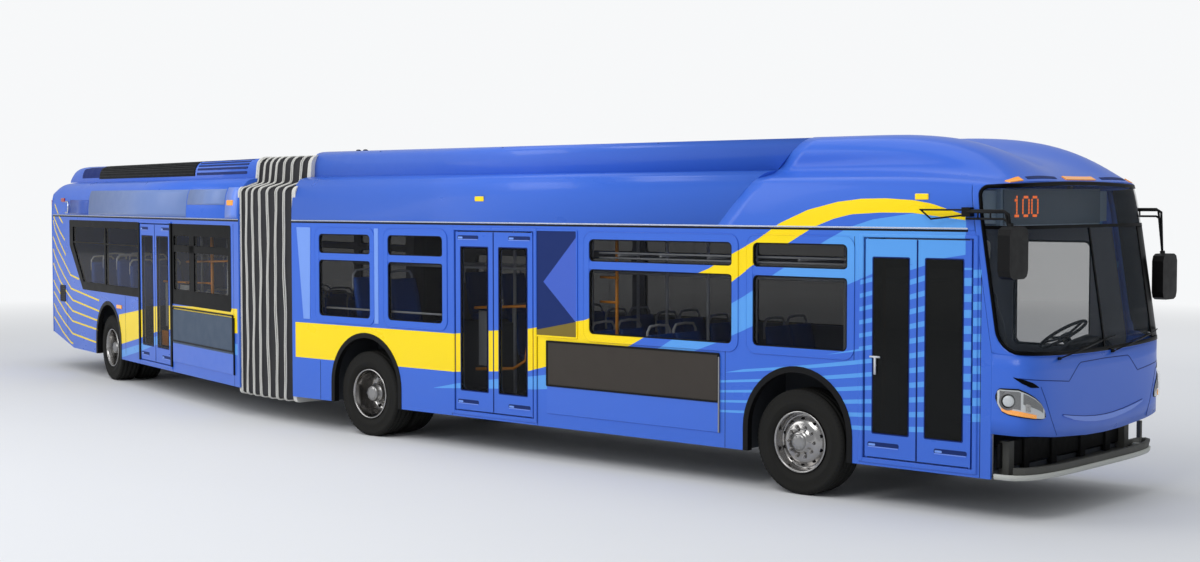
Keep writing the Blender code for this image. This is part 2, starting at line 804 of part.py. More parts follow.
def lamp_mesh(side):
    """A swept headlamp housing that follows the mask's corner and stands a little out of it."""
    grids = []
    for inset in (-LAMP_PROUD, NOSE_WALL / 2):
        rows = []
        for shares in (LAMP_LOW_SHARES, LAMP_HIGH_SHARES):
            row = []
            for step, share in zip(LAMP_STEP_SHARES, shares):
                across, forward = facet_shares(step)
                x = FRONT_CORNER_X + (NOSE_DEPTH - inset) * forward
                row.append((x, -side * (HALF - inset) * across, LAMP_Z + LAMP_HEIGHT * share))
            rows.append(row)
        grids.append(rows)
    return shell_mesh(f"lamp_{side}", *grids)


def tail_ring(inset, corner_z, middle_z, gap=SEAT_GAP):
    """A ring round the rear end. It is the nose's ring, turned to face rearward."""
    ring = end_ring(inset, corner_z, middle_z, TAIL_DEPTH, lambda z: gap)
    return [(TAIL_CORNER_X - x, y, z) for x, y, z in ring]


def tail(frame):
    rows = ((TAIL_BOTTOM_Z, TAIL_BOTTOM_Z), (RAIL_Z, RAIL_Z), (TAIL_TOP_Z, TAIL_TOP_MIDDLE_Z))
    outer = [tail_ring(0.0, *heights) for heights in rows]
    inner = [tail_ring(WALL, *heights) for heights in rows]
    add("rear_face", shell_mesh("rear_face", outer, inner), blue(), frame)


def fairing_ring(top_z, plane_x):
    """The fairing's section, whose underside follows the roof. plane_x gives its place at a height."""
    inside = [HALF * across for across, _ in ROOF_EDGE_SHARES if HALF * across < FAIRING_HALF]
    under = [FAIRING_HALF] + inside
    right = [(-y, roof_height(y) + 2 * SEAT_GAP) for y in under]
    bottom = right + [(-y, z) for y, z in right[-2::-1]]
    side = fairing_side(top_z)[1:]
    top = side + [(-y, z) for y, z in side[::-1]]
    return [(plane_x(z), y, z) for y, z in bottom + top]


def fairings(front, rear):
    rings = [fairing_ring(FAIRING_TOP_Z, lambda z: FRONT_REAR_X)]
    rings.append(fairing_ring(FAIRING_TOP_Z, lambda z: split_x(z) - SEAT_GAP))
    loft("roof_fairing", rings, blue(), front)
    rings = [fairing_ring(FAIRING_REAR_TOP_Z, lambda z: REAR_FRONT_X)]
    foot_z = roof_height(FAIRING_HALF)
    for ahead, share in TAIL_FAIRING_SHARES:
        top_z = foot_z + (FAIRING_REAR_TOP_Z - foot_z) * share
        place = TAIL_CORNER_X + ahead
        rings.append(fairing_ring(top_z, lambda z: place))
    loft("rear_fairing", rings, blue(), rear)


def floor_front(frame):
    reach = INNER - SEAT_GAP
    xs = (FRONT_REAR_X, FRONT_CORNER_X)
    slab = box_mesh("front_floor", xs, (-reach, reach), (SKIRT_Z, FLOOR_Z))
    obj = add("front_floor", slab, grey(), frame)
    for x, inner_y in ((0.0, FRONT_HOUSE_Y), (MIDDLE_AXLE_X, TWIN_HOUSE_Y)):
        wheelhouses(obj, x, inner_y, reach, SKIRT_Z, frame)


def wheelhouses(obj, x, inner_y, reach, low, frame):
    """Adds a box over each wheel of an axle and opens it from below and from the side."""
    for side in (-1, 1):
        name = f"house_{'left' if side > 0 else 'right'}_{abs(x):.0f}"
        xs = (x - HOUSE_HALF, x + HOUSE_HALF)
        combine(obj, box_mesh(name, xs, (side * inner_y, side * reach), (low, HOUSE_TOP_Z)), frame)
        xs = (xs[0] + HOUSE_WALL, xs[1] - HOUSE_WALL)
        ys = (side * (inner_y + HOUSE_WALL), side * (HALF + OVERRUN))
        cut(obj, box_mesh(name + "_inside", xs, ys, (low - OVERRUN, HOUSE_TOP_Z - HOUSE_WALL)), frame)


def floor_rear(frame):
    reach = INNER - SEAT_GAP
    ys = (-reach, reach)
    low = box_mesh("rear_floor", (STEP_X, REAR_FRONT_X), ys, (SKIRT_Z, FLOOR_Z))
    obj = add("rear_floor", low, grey(), frame)
    step = (STEP_X - FLOOR_THICK, STEP_X + OVERRUN)
    combine(obj, box_mesh("step", step, ys, (SKIRT_Z, RAISED_FLOOR_Z)), frame)
    raised_bottom = RAISED_FLOOR_Z - FLOOR_THICK
    xs = (SHELF_X, STEP_X)
    combine(obj, box_mesh("raised_floor", xs, ys, (raised_bottom, RAISED_FLOOR_Z)), frame)
    xs = (SHELF_X - FLOOR_THICK, SHELF_X + OVERRUN)
    combine(obj, box_mesh("bulkhead", xs, ys, (raised_bottom, SHELF_Z)), frame)
    xs = (TAIL_CORNER_X, SHELF_X)
    combine(obj, box_mesh("shelf", xs, ys, (SHELF_Z - FLOOR_THICK, SHELF_Z)), frame)
    wheelhouses(obj, REAR_AXLE_X, TWIN_HOUSE_Y, reach, raised_bottom, frame)


def engine(frame):
    ys = (-ENGINE_HALF, ENGINE_HALF)
    zs = (ENGINE_BOTTOM_Z, SHELF_Z - FLOOR_THICK - SEAT_GAP)
    add("engine_block", box_mesh("engine_block", ENGINE_X, ys, zs), grey("engine_grey"), frame)


def front_axle(frame):
    """A dropped beam: it runs below the floor and rises inside the wheels to the kingpin bosses."""
    reach = KINGPIN_Y - ARM_LENGTH
    centre = box_mesh("front_axle", (-BEAM_HALF, BEAM_HALF), (-reach, reach), (BEAM_BOTTOM_Z, BEAM_TOP_Z))
    obj = add("front_axle", centre, black("chassis_black"), frame)
    for side in (-1, 1):
        label = "left" if side > 0 else "right"
        ys = (side * (reach - 2 * BEAM_HALF), side * reach)
        zs = (BEAM_BOTTOM_Z, ROLL_HEIGHT + BEAM_HALF / 2)
        combine(obj, box_mesh(f"riser_{label}", (-BEAM_HALF, BEAM_HALF), ys, zs), frame)
        xs = (-BEAM_HALF / 2, BEAM_HALF / 2)
        ys = (side * (reach - BEAM_HALF), side * KINGPIN_Y)
        zs = (ROLL_HEIGHT - BEAM_HALF / 2, ROLL_HEIGHT + BEAM_HALF / 2)
        combine(obj, box_mesh(f"arm_{label}", xs, ys, zs), frame)
        low = (0, side * KINGPIN_Y, ROLL_HEIGHT - BOSS_HEIGHT / 2)
        high = (0, side * KINGPIN_Y, ROLL_HEIGHT + BOSS_HEIGHT / 2)
        combine(obj, rod_mesh(f"boss_{label}", low, high, BOSS_RADIUS, ROUND_SIDES), frame)
    seat_pads(obj, 0.0, BEAM_TOP_Z, SKIRT_Z, frame)


def seat_pads(obj, x, low, high, frame):
    """Spring seats between an axle and the floor above it."""
    for side in (-1, 1):
        label = "left" if side > 0 else "right"
        xs = (x - PAD_HALF, x + PAD_HALF)
        ys = (side * PAD_Y - PAD_HALF, side * PAD_Y + PAD_HALF)
        zs = (low - OVERRUN / 2, high - SEAT_GAP)
        combine(obj, box_mesh(f"pad_{label}", xs, ys, zs), frame)


def middle_axle(frame):
    """A portal axle: the beam passes under the floor and rises inside the inner wheels."""
    riser_out = TRACK_HALF - TWIN_SPACING
    xs = (MIDDLE_AXLE_X - BEAM_HALF, MIDDLE_AXLE_X + BEAM_HALF)
    centre = box_mesh("middle_axle", xs, (-riser_out, riser_out), (BEAM_BOTTOM_Z, BEAM_TOP_Z))
    obj = add("middle_axle", centre, black("chassis_black"), frame)
    for side in (-1, 1):
        label = "left" if side > 0 else "right"
        ys = (side * (riser_out - 2 * BEAM_HALF), side * riser_out)
        zs = (BEAM_BOTTOM_Z, ROLL_HEIGHT + BEAM_HALF)
        combine(obj, box_mesh(f"middle_riser_{label}", xs, ys, zs), frame)
        combine(obj, spindle_mesh(MIDDLE_AXLE_X, side, riser_out - BEAM_HALF), frame)
    seat_pads(obj, MIDDLE_AXLE_X, BEAM_TOP_Z, SKIRT_Z, frame)


def spindle_mesh(x, side, from_y):
    start = (x, side * from_y, ROLL_HEIGHT)
    end = (x, side * (TRACK_HALF - SEAT_GAP), ROLL_HEIGHT)
    return rod_mesh(f"spindle_{side}", start, end, SPINDLE_RADIUS, WHEEL_SIDES)


def rear_axle(frame):
    """The drive axle: tubes on each side of the differential, under the raised floor."""
    reach = TRACK_HALF - TWIN_SPACING
    start, end = (REAR_AXLE_X, -reach, ROLL_HEIGHT), (REAR_AXLE_X, reach, ROLL_HEIGHT)
    tube = rod_mesh("rear_axle", start, end, REAR_TUBE_RADIUS, ROUND_SIDES)
    obj = add("rear_axle", tube, black("chassis_black"), frame)
    ball = bpy.data.meshes.new("differential")
    bm = bmesh.new()
    bmesh.ops.create_uvsphere(
        bm, u_segments=ROUND_SIDES, v_segments=DIFFERENTIAL_RINGS, radius=DIFFERENTIAL_RADIUS
    )
    bm.to_mesh(ball)
    bm.free()
    combine(obj, ball, frame, place=(REAR_AXLE_X, 0, ROLL_HEIGHT))
    for side in (-1, 1):
        combine(obj, spindle_mesh(REAR_AXLE_X, side, reach - BEAM_HALF), frame)
    seat_pads(obj, REAR_AXLE_X, ROLL_HEIGHT + REAR_TUBE_RADIUS, RAISED_FLOOR_Z - FLOOR_THICK, frame)


def knuckle(side, frame):
    """A fork over the kingpin boss with the spindle on its outer web. Its origin is on the kingpin."""
    label = "left" if side > 0 else "right"
    name = f"knuckle_{label}"
    clear = BOSS_RADIUS + PLAY
    arm_low = BOSS_HEIGHT / 2 + SEAT_GAP
    web_y = (side * clear, side * (clear + KNUCKLE_THICK))
    high = arm_low + KNUCKLE_THICK
    xs = (-BOSS_RADIUS, BOSS_RADIUS)
    obj = add(name, box_mesh(name, xs, web_y, (-high, high)), black("chassis_black"), frame)
    obj.location = (0, side * KINGPIN_Y, ROLL_HEIGHT)
    place = obj.location
    for level in (-1, 1):
        zs = (level * arm_low, level * high)
        ys = (-side * BOSS_RADIUS / 2, side * (clear + KNUCKLE_THICK / 2))
        combine(obj, box_mesh(f"{name}_arm_{level}", xs, ys, zs), frame, place=place)
    start = (0, side * clear, 0)
    end = (0, side * (TRACK_HALF - KINGPIN_Y - SEAT_GAP + BORE_OUT), 0)
    spindle = rod_mesh(f"{name}_spindle", start, end, SPINDLE_RADIUS, WHEEL_SIDES)
    combine(obj, spindle, frame, place=place)


def single_wheel_profile():
    """A convex disc wheel with its hub cap, rim and blind bearing bore."""
    rim_out = TYRE_WIDTH / 2 - LIP_INSET
    return [
        (0.0, rim_out + CAP_OUT),
        (CAP_RADIUS, rim_out + CAP_OUT),
        (DISC_RADIUS, rim_out - DISC_INSET),
        (WELL_RADIUS, rim_out - WELL_INSET),
        (LIP_RADIUS, rim_out),
        (RIM_RADIUS, rim_out),
        (RIM_RADIUS, -rim_out),
        (LIP_RADIUS, -rim_out),
        (WELL_RADIUS, rim_out - WELL_INSET - DISC_THICK),
        (HUB_RADIUS, rim_out - DISC_INSET - DISC_THICK),
        (HUB_RADIUS, HUB_IN),
        (BORE_RADIUS, HUB_IN),
        (BORE_RADIUS, BORE_OUT),
        (0.0, BORE_OUT),
    ]


def twin_wheel_profile():
    """Two rims on one hub: a deep dish outside, and an open inner rim where the axle comes in."""
    rim_out = TYRE_WIDTH / 2 - LIP_INSET
    inner_face = -TWIN_SPACING - rim_out
    return [
        (0.0, rim_out - TWIN_CAP_INSET),
        (CAP_RADIUS, rim_out - TWIN_CAP_INSET),
        (HUB_RADIUS, TWIN_DISC_OUT),
        (DISC_RADIUS, TWIN_DISC_OUT),
        (LIP_RADIUS, rim_out),
        (RIM_RADIUS, rim_out),
        (RIM_RADIUS, inner_face),
        (LIP_RADIUS, inner_face),
        (WELL_RADIUS, TWIN_DISC_OUT - TWIN_WELL_DEPTH),
        (HUB_RADIUS, TWIN_DISC_OUT - TWIN_DISC_THICK),
        (HUB_RADIUS, TWIN_HUB_IN),
        (BORE_RADIUS, TWIN_HUB_IN),
        (BORE_RADIUS, 0.0),
        (0.0, 0.0),
    ]


def tyre_profile(middle=0.0):
    """One tyre's section, from its outer bead over the tread to its inner bead."""
    half = TYRE_WIDTH / 2
    crown = ROLL_HEIGHT / cos(pi / WHEEL_SIDES)
    bead = RIM_RADIUS + SEAT_GAP
    outer = [(bead + (crown - bead) * rise, half * wide) for rise, wide in TYRE_SECTION_SHARES]
    return [(r, middle + out) for r, out in outer] + [(r, middle - out) for r, out in outer[::-1]]


def twin_tyre_profile():
    """Both tyres of a pair, joined where the spacer ring sits on the rim."""
    spacer = RIM_RADIUS + SEAT_GAP + SPACER_THICK
    outer, inner = tyre_profile(), tyre_profile(-TWIN_SPACING)
    outer[-1] = (spacer, outer[-1][1])
    inner[0] = (spacer, inner[0][1])
    return outer + inner


def wheel_set(name, x, side, wheel, tyre, frame):
    place = (x, side * TRACK_HALF, ROLL_HEIGHT)
    turned("wheel_" + name, wheel, place, side, steel("polished_wheel"), frame)
    turned("tyre_" + name, tyre, place, side, paint("tyre_rubber", (0.02, 0.02, 0.02), 0.85), frame)


def running_gear(front, rear):
    front_axle(front)
    middle_axle(front)
    rear_axle(rear)
    for side, label in ((1, "left"), (-1, "right")):
        knuckle(side, front)
        wheel_set(f"front_{label}", 0.0, side, single_wheel_profile(), tyre_profile(), front)
        for axle, x, frame in (("middle", MIDDLE_AXLE_X, front), ("rear", REAR_AXLE_X, rear)):
            wheel_set(f"{axle}_{label}", x, side, twin_wheel_profile(), twin_tyre_profile(), frame)


def door_leaf(name, hinge_x, free_x, frame):
    """A glazed leaf with pivot pins at the head and the sill. Its origin is on its hinge line."""
    toward = 1 if free_x > hinge_x else -1
    hinge_edge = -toward * PIN_INSET
    free_edge = free_x - hinge_x
    xs = sorted((hinge_edge, free_edge))
    bottom, top = SILL_Z + LEAF_GAP, HEAD_Z - LEAF_GAP
    outline = rectangle(xs, (bottom, top))
    light = rectangle((xs[0] + LEAF_FRAME, xs[1] - LEAF_FRAME), (LEAF_GLASS_BOTTOM_Z, LEAF_GLASS_TOP_Z))
    outer_y = -HALF - LEAF_PROUD
    axis_y = outer_y + PIN_INSET
    curve = flat_curve(name, outline, [rounded(light, WINDOW_ROUND)], LEAF_THICK)
    made = bpy.data.objects.new(name + "_flat", curve)
    bpy.data.collections[PARTS].objects.link(made)
    bpy.context.view_layer.update()
    mesh = bpy.data.meshes.new_from_object(made.evaluated_get(bpy.context.evaluated_depsgraph_get()))
    mesh.name = name
    bpy.data.objects.remove(made)
    bm = bmesh.new()
    bm.from_mesh(mesh)
    bmesh.ops.remove_doubles(bm, verts=bm.verts, dist=0.00001)
    shift = Matrix.Translation((0, LEAF_THICK / 2 - PIN_INSET, 0))
    bmesh.ops.transform(bm, matrix=shift @ Matrix.Rotation(pi / 2, 4, "X"), verts=bm.verts)
    bm.to_mesh(mesh)
    bm.free()
    mesh.materials.clear()
    obj = add(name, mesh, blue(), frame)
    obj.location = (hinge_x, axis_y, 0)
    pins = (("head", top - OVERRUN, HEAD_Z - SEAT_GAP), ("sill", SILL_Z + SEAT_GAP, bottom + OVERRUN))
    for level, start, end in pins:
        pin = rod_mesh(f"{name}_{level}", (0, 0, start), (0, 0, end), PIN_RADIUS, PIN_SIDES)
        combine(obj, pin, frame, place=obj.location)


def doorway(name, xs, frame):
    """Two leaves that meet in the middle, each hinged at its outer edge."""
    middle = (xs[0] + xs[1]) / 2
    inset = LEAF_GAP + PIN_INSET
    door_leaf(f"{name}_leaf_rear", xs[0] + inset, middle - LEAF_GAP / 2, frame)
    door_leaf(f"{name}_leaf_front", xs[1] - inset, middle + LEAF_GAP / 2, frame)


def side_board(name, xs, drop, frame):
    outline = rectangle(xs, (BOARD_BOTTOM_Z - drop, BOARD_TOP_Z - drop))
    middle = -HALF - SEAT_GAP - BOARD_THICK / 2
    plate(name, outline, [], paint("board_grey", (0.05, 0.06, 0.075), 0.6), middle, BOARD_THICK, frame)


def turntable(front, rear):
    """The lower plate is carried by the front section and the upper plate by the rear one."""
    for name, frame, low, end in (
        ("turntable_lower", front, TURNTABLE_Z - TURNTABLE_THICK, FRONT_REAR_X - SEAT_GAP),
        ("turntable_upper", rear, TURNTABLE_Z + SEAT_GAP, REAR_FRONT_X + SEAT_GAP),
    ):
        high = low + TURNTABLE_THICK
        disc = rod_mesh(name, (PIVOT_X, 0, low), (PIVOT_X, 0, high), TURNTABLE_RADIUS, TURNTABLE_SIDES)
        obj = add(name, disc, black("chassis_black"), frame)
        ys = (-TURNTABLE_RADIUS / 2, TURNTABLE_RADIUS / 2)
        step = TURNTABLE_RADIUS * TONGUE_SHARE
        edge = PIVOT_X + (step if end > PIVOT_X else -step)
        combine(obj, box_mesh(name + "_tongue", (edge, end), ys, (low, high)), frame)


def bend_point(share, y, z):
    """A point of the bellows: share runs from the front section to the rear one round the bend."""
    half_length = (FRONT_REAR_X - REAR_FRONT_X) / 2
    radius = half_length / tan(abs(PARKED_BEND) / 2)
    turn = abs(PARKED_BEND) * share
    arm = radius - y
    return (FRONT_REAR_X - arm * sin(turn), radius - arm * cos(turn), z)


def bellows_ring(share, inset):
    half, shoulder = BELLOWS_HALF - inset, BELLOWS_SHOULDER_HALF - inset
    low, high = BELLOWS_BOTTOM_Z + inset * BELLOWS_UNDER_SHARE, BELLOWS_TOP_Z - inset
    ledge = BELLOWS_SHOULDER_Z - inset
    right = [(-half, low), (-half, ledge), (-shoulder, ledge + BELLOWS_LEDGE_RISE)]
    right += [(-shoulder, high - BELLOWS_TOP_CHAMFER), (-shoulder + BELLOWS_TOP_CHAMFER, high)]
    ring = right + [(-y, z) for y, z in right[::-1]]
    return [bend_point(share, y, z) for y, z in ring]


def bellows(frame):
    """One pleated sleeve, open at both ends, with its folds worked out round the bend."""
    outer, inner = [], []
    end_share = SEAT_GAP / (FRONT_REAR_X - REAR_FRONT_X)
    count = 2 * BELLOWS_FOLDS
    for k in range(count + 1):
        share = end_share + (1 - 2 * end_share) * k / count
        depth = BELLOWS_DEPTH if k % 2 == 0 else 0.0
        outer.append(bellows_ring(share, depth))
        inner.append(bellows_ring(share, depth + BELLOWS_THICK))
    tube_shell("bellows", outer, inner, paint("bellows_fabric", (0.06, 0.06, 0.07), 0.8), frame)


def tube_shell(name, outer, inner, material, frame):
    """A sleeve between two sets of closed rings, with its two end rims."""
    rows, count = len(outer), len(outer[0])
    points = [p for ring in outer for p in ring] + [p for ring in inner for p in ring]
    back = rows * count
    faces = []
    for r in range(rows - 1):
        for c in range(count):
            d = (c + 1) % count
            a, b, e, f = r * count + c, r * count + d, (r + 1) * count + d, (r + 1) * count + c
            faces.append([a, b, e, f])
            faces.append([back + a, back + f, back + e, back + b])
    for c in range(count):
        d = (c + 1) % count
        faces.append([c, back + c, back + d, d])
        last = (rows - 1) * count
        faces.append([last + c, last + d, back + last + d, back + last + c])
    return add(name, faces_mesh(name, points, faces), material, frame)


def seat_outline(x, z):
    """One seat from the side, facing forward: its cushion and its back."""
    return [
        (x, z + SEAT_HEIGHT - SEAT_PAD),
        (x + SEAT_DEPTH, z + SEAT_HEIGHT - SEAT_PAD),
        (x + SEAT_DEPTH, z + SEAT_HEIGHT),
        (x + SEAT_PAD, z + SEAT_HEIGHT),
        (x, z + SEAT_HEIGHT + SEAT_BACK),
        (x - SEAT_PAD, z + SEAT_HEIGHT + SEAT_BACK),
    ]


def seat_row(name, places, floor_z, side, frame):
    """Double seats on one rail along the wall."""
    wall_y = INNER - SEAT_GAP
    ys = (side * wall_y, side * (wall_y - SEAT_RAIL))
    rail_z = floor_z + SEAT_HEIGHT - SEAT_PAD
    xs = (min(places) - SEAT_PAD, max(places) + SEAT_DEPTH)
    rail = box_mesh(name, xs, ys, (rail_z - SEAT_RAIL, rail_z + SEAT_PAD / 2))
    obj = add(name, rail, paint("seat_blue", (0.04, 0.10, 0.35), 0.7), frame)
    for k, x in enumerate(places):
        points = seat_outline(x, floor_z)
        ends = (ys[0] - side * SEAT_RAIL / 4, side * (wall_y - 2 * SEAT_WIDTH))
        rings = [[(px, y, pz) for px, pz in points] for y in ends]
        combine(obj, prism_mesh(f"{name}_{k}", *rings), frame)


def spaced(first, last, pitch=SEAT_PITCH):
    return [first + pitch * k for k in range(int((last - first) / pitch + 1))]


def handrails(name, xs, floor_z, posts, frame):
    """Ceiling rails on both sides of the aisle, joined across, with posts down to the floor."""
    start, end = (xs[0], -RAIL_Y, RAIL_HEIGHT), (xs[1], -RAIL_Y, RAIL_HEIGHT)
    material = steel("rail_steel")
    obj = add(name, rod_mesh(name, start, end, RAIL_RADIUS, RAIL_SIDES), material, frame)
    start, end = (xs[0], RAIL_Y, RAIL_HEIGHT), (xs[1], RAIL_Y, RAIL_HEIGHT)
    combine(obj, rod_mesh(name + "_left", start, end, RAIL_RADIUS, RAIL_SIDES), frame)
    for k, x in enumerate((xs[0] + OVERRUN, xs[1] - OVERRUN)):
        start, end = (x, -RAIL_Y, RAIL_HEIGHT), (x, RAIL_Y, RAIL_HEIGHT)
        combine(obj, rod_mesh(f"{name}_cross_{k}", start, end, CROSS_RADIUS, RAIL_SIDES), frame)
    for k, (x, side) in enumerate(posts):
        y = side * RAIL_Y
        top = roof_height(abs(y) + POST_RADIUS, ROOF_THICK) - SEAT_GAP
        start, end = (x, y, floor_z + SEAT_GAP), (x, y, top)
        combine(obj, rod_mesh(f"{name}_post_{k}", start, end, POST_RADIUS, RAIL_SIDES), frame)


def driver_place(frame):
    """The driver's raised platform with its dash and seat, and the steering wheel on its column."""
    reach = INNER - SEAT_GAP
    xs = (HOUSE_HALF + SEAT_GAP, DASH_X[1])
    ys = (OVERRUN, reach)
    zs = (FLOOR_Z + SEAT_GAP, PLATFORM_Z)
    obj = add("driver_station", box_mesh("driver_station", xs, ys, zs), grey("dash_grey"), frame)
    combine(obj, box_mesh("dash", DASH_X, (0, reach), (FLOOR_Z + SEAT_GAP, DASH_Z)), frame)
    combine(obj, box_mesh("cowl", DASH_X, COWL_Y, (DASH_Z - OVERRUN, COWL_Z)), frame)
    points = seat_outline(DRIVER_SEAT_X, PLATFORM_Z)
    middle, half = HALF / 2, SEAT_WIDTH / 2
    rings = [[(px, y, pz) for px, pz in points] for y in (middle - half, middle + half)]
    combine(obj, prism_mesh("driver_seat", *rings), frame)
    xs = (DRIVER_SEAT_X + SEAT_PAD, DRIVER_SEAT_X + SEAT_DEPTH / 2)
    zs = (PLATFORM_Z - OVERRUN / 2, PLATFORM_Z + SEAT_HEIGHT - SEAT_PAD / 2)
    combine(obj, box_mesh("driver_pedestal", xs, (middle - half / 2, middle + half / 2), zs), frame)
    steering_wheel(obj, frame)


def steering_wheel(obj, frame):
    """Rim, cross spoke and a column that runs down into the dash."""
    centre = Vector(STEERING_PLACE)
    axis = Vector((-sin(STEERING_TILT), 0, cos(STEERING_TILT)))
    uphill = Vector((cos(STEERING_TILT), 0, sin(STEERING_TILT)))
    across = Vector((0, 1, 0))
    path = []
    for k in range(WHEEL_RIM_STEPS):
        turn = 2 * pi * k / WHEEL_RIM_STEPS
        path.append(centre + STEERING_RADIUS * (cos(turn) * uphill + sin(turn) * across))
    combine(obj, tube_mesh("steering_rim", path, axis, STEERING_TUBE, RAIL_SIDES, closed=True), frame)
    spoke = STEERING_RADIUS * across
    radius = STEERING_TUBE * SPOKE_SHARE
    combine(obj, rod_mesh("steering_spoke", centre - spoke, centre + spoke, radius, RAIL_SIDES), frame)
    foot = centre - axis * COLUMN_LENGTH
    head = centre + axis * STEERING_TUBE
    combine(obj, rod_mesh("steering_column", foot, head, COLUMN_RADIUS, ROUND_SIDES), frame)


def mirror(name, side, head_z, frame):
    """A mirror head hung from a bent tube, with its hub on the pillar and a loop along the side."""
    body_y = side * (half_width(MIRROR_HUB_Z - MIRROR_HUB / 2) + SEAT_GAP)
    out_y = side * (HALF + LOOP_OUT)
    depth, wide, high = MIRROR_SIZE
    head_y = side * MIRROR_Y
    ys = (head_y - wide / 2, head_y + wide / 2)
    outline = rounded(rectangle(ys, (head_z - high / 2, head_z + high / 2)), MIRROR_ROUND)
    rings = [[(x, y, z) for y, z in outline] for x in (MIRROR_X - depth / 2, MIRROR_X + depth / 2)]
    obj = add(name, prism_mesh(name, *rings), black(), frame)
    low, high_z = MIRROR_HUB_Z - MIRROR_HUB / 2, MIRROR_HUB_Z + MIRROR_HUB / 2
    xs = (MIRROR_HUB_X - MIRROR_HUB / 2, MIRROR_HUB_X + MIRROR_HUB / 2)
    combine(obj, box_mesh(name + "_hub", xs, (body_y, out_y + side * MIRROR_TUBE), (low, high_z)), frame)
    arm = [(MIRROR_HUB_X, out_y, MIRROR_HUB_Z), (MIRROR_X - MIRROR_ROUND, head_y, MIRROR_HUB_Z)]
    combine(obj, tube_mesh(name + "_arm", arm, (0, 0, 1), MIRROR_TUBE, RAIL_SIDES), frame)
    drop = [(MIRROR_X - MIRROR_ROUND, head_y, MIRROR_HUB_Z + MIRROR_TUBE / 2), (MIRROR_X, head_y, head_z)]
    combine(obj, tube_mesh(name + "_drop", drop, (0, 1, 0), MIRROR_TUBE, PIN_SIDES), frame)
    loop = [
        (MIRROR_HUB_X, out_y, high_z - MIRROR_TUBE * 2),
        (LOOP_BACK_X, out_y, high_z - MIRROR_TUBE * 2),
        (LOOP_BACK_X + LOOP_DROP, out_y, high_z - LOOP_DROP),
        (MIRROR_HUB_X, out_y, low + MIRROR_TUBE * 1.5),
    ]
    thin = MIRROR_TUBE * LOOP_SHARE
    combine(obj, tube_mesh(name + "_loop", loop, (0, 1, 0), thin, RAIL_SIDES), frame)


def undertray(frame):
    """Floor of the open bumper: a tray with a curved lip, two posts and a bracket at the left one."""
    low = SKIRT_Z
    high = low + TRAY_THICK
    ring = nose_ring(TRAY_LIP_THICK, BELT_Z, BELT_Z)
    rings = [[(x, y, z) for x, y, _ in ring] for z in (low, high)]
    obj = add("undertray", prism_mesh("undertray", *rings), grey("tray_grey"), frame)
    grids = []
    for inset in (0.0, TRAY_LIP_THICK * 1.5):
        ring = nose_ring(inset + TRAY_LIP_THICK, BELT_Z, BELT_Z)
        foot = [(x, y, low + TRAY_THICK / 4) for x, y, _ in ring]
        lip = [(x, y, TRAY_LIP_Z) for x, y, _ in nose_ring(inset, BELT_Z, BELT_Z)]
        grids.append([foot[1:-1], lip[1:-1]])
    combine(obj, shell_mesh("tray_lip", *grids), frame)
    for side in (-1, 1):
        start_x = FRONT_CORNER_X + SEAT_GAP
        xs = (start_x, start_x + 2 * TRAY_POST_HALF)
        ys = (side * TRAY_POST_Y - TRAY_POST_HALF, side * TRAY_POST_Y + TRAY_POST_HALF)
        zs = (low + TRAY_THICK / 2, MASK_BOTTOM_MIDDLE_Z)
        combine(obj, box_mesh(f"tray_post_{side}", xs, ys, zs), frame)
    start_x = FRONT_CORNER_X + TRAY_POST_HALF
    xs = (start_x, start_x + BLADE_THICK)
    tip_y = HALF + BLADE_OUT
    zs = (high + TRAY_THICK, high + 3 * TRAY_THICK)
    combine(obj, box_mesh("blade", xs, (TRAY_POST_Y, tip_y), zs), frame)
    lap = TRAY_THICK / 4
    xs = (start_x - lap, start_x + BLADE_THICK + lap)
    ys = (tip_y - BLADE_THICK, tip_y + lap)
    combine(obj, box_mesh("blade_tip", xs, ys, (high, BLADE_TOP_Z)), frame)


def centre_on_ground(bus):
    """Moves the bus so that its box stands on the ground with its middle over the origin."""
    bpy.context.view_layer.update()
    graph = bpy.context.evaluated_depsgraph_get()
    lows, highs = [], []
    for obj in bpy.data.collections[PARTS].objects:
        if obj.type == "EMPTY":
            continue
        mesh = obj.evaluated_get(graph).to_mesh()
        points = np.empty(len(mesh.vertices) * 3, np.float32)
        mesh.vertices.foreach_get("co", points)
        world = np.array(obj.matrix_world)
        points = points.reshape(-1, 3) @ world[:3, :3].T + world[:3, 3]
        lows.append(points.min(axis=0))
        highs.append(points.max(axis=0))
        obj.evaluated_get(graph).to_mesh_clear()
    low, high = np.min(lows, axis=0), np.max(highs, axis=0)
    bus.location = (-(low[0] + high[0]) / 2, -(low[1] + high[1]) / 2, -low[2])


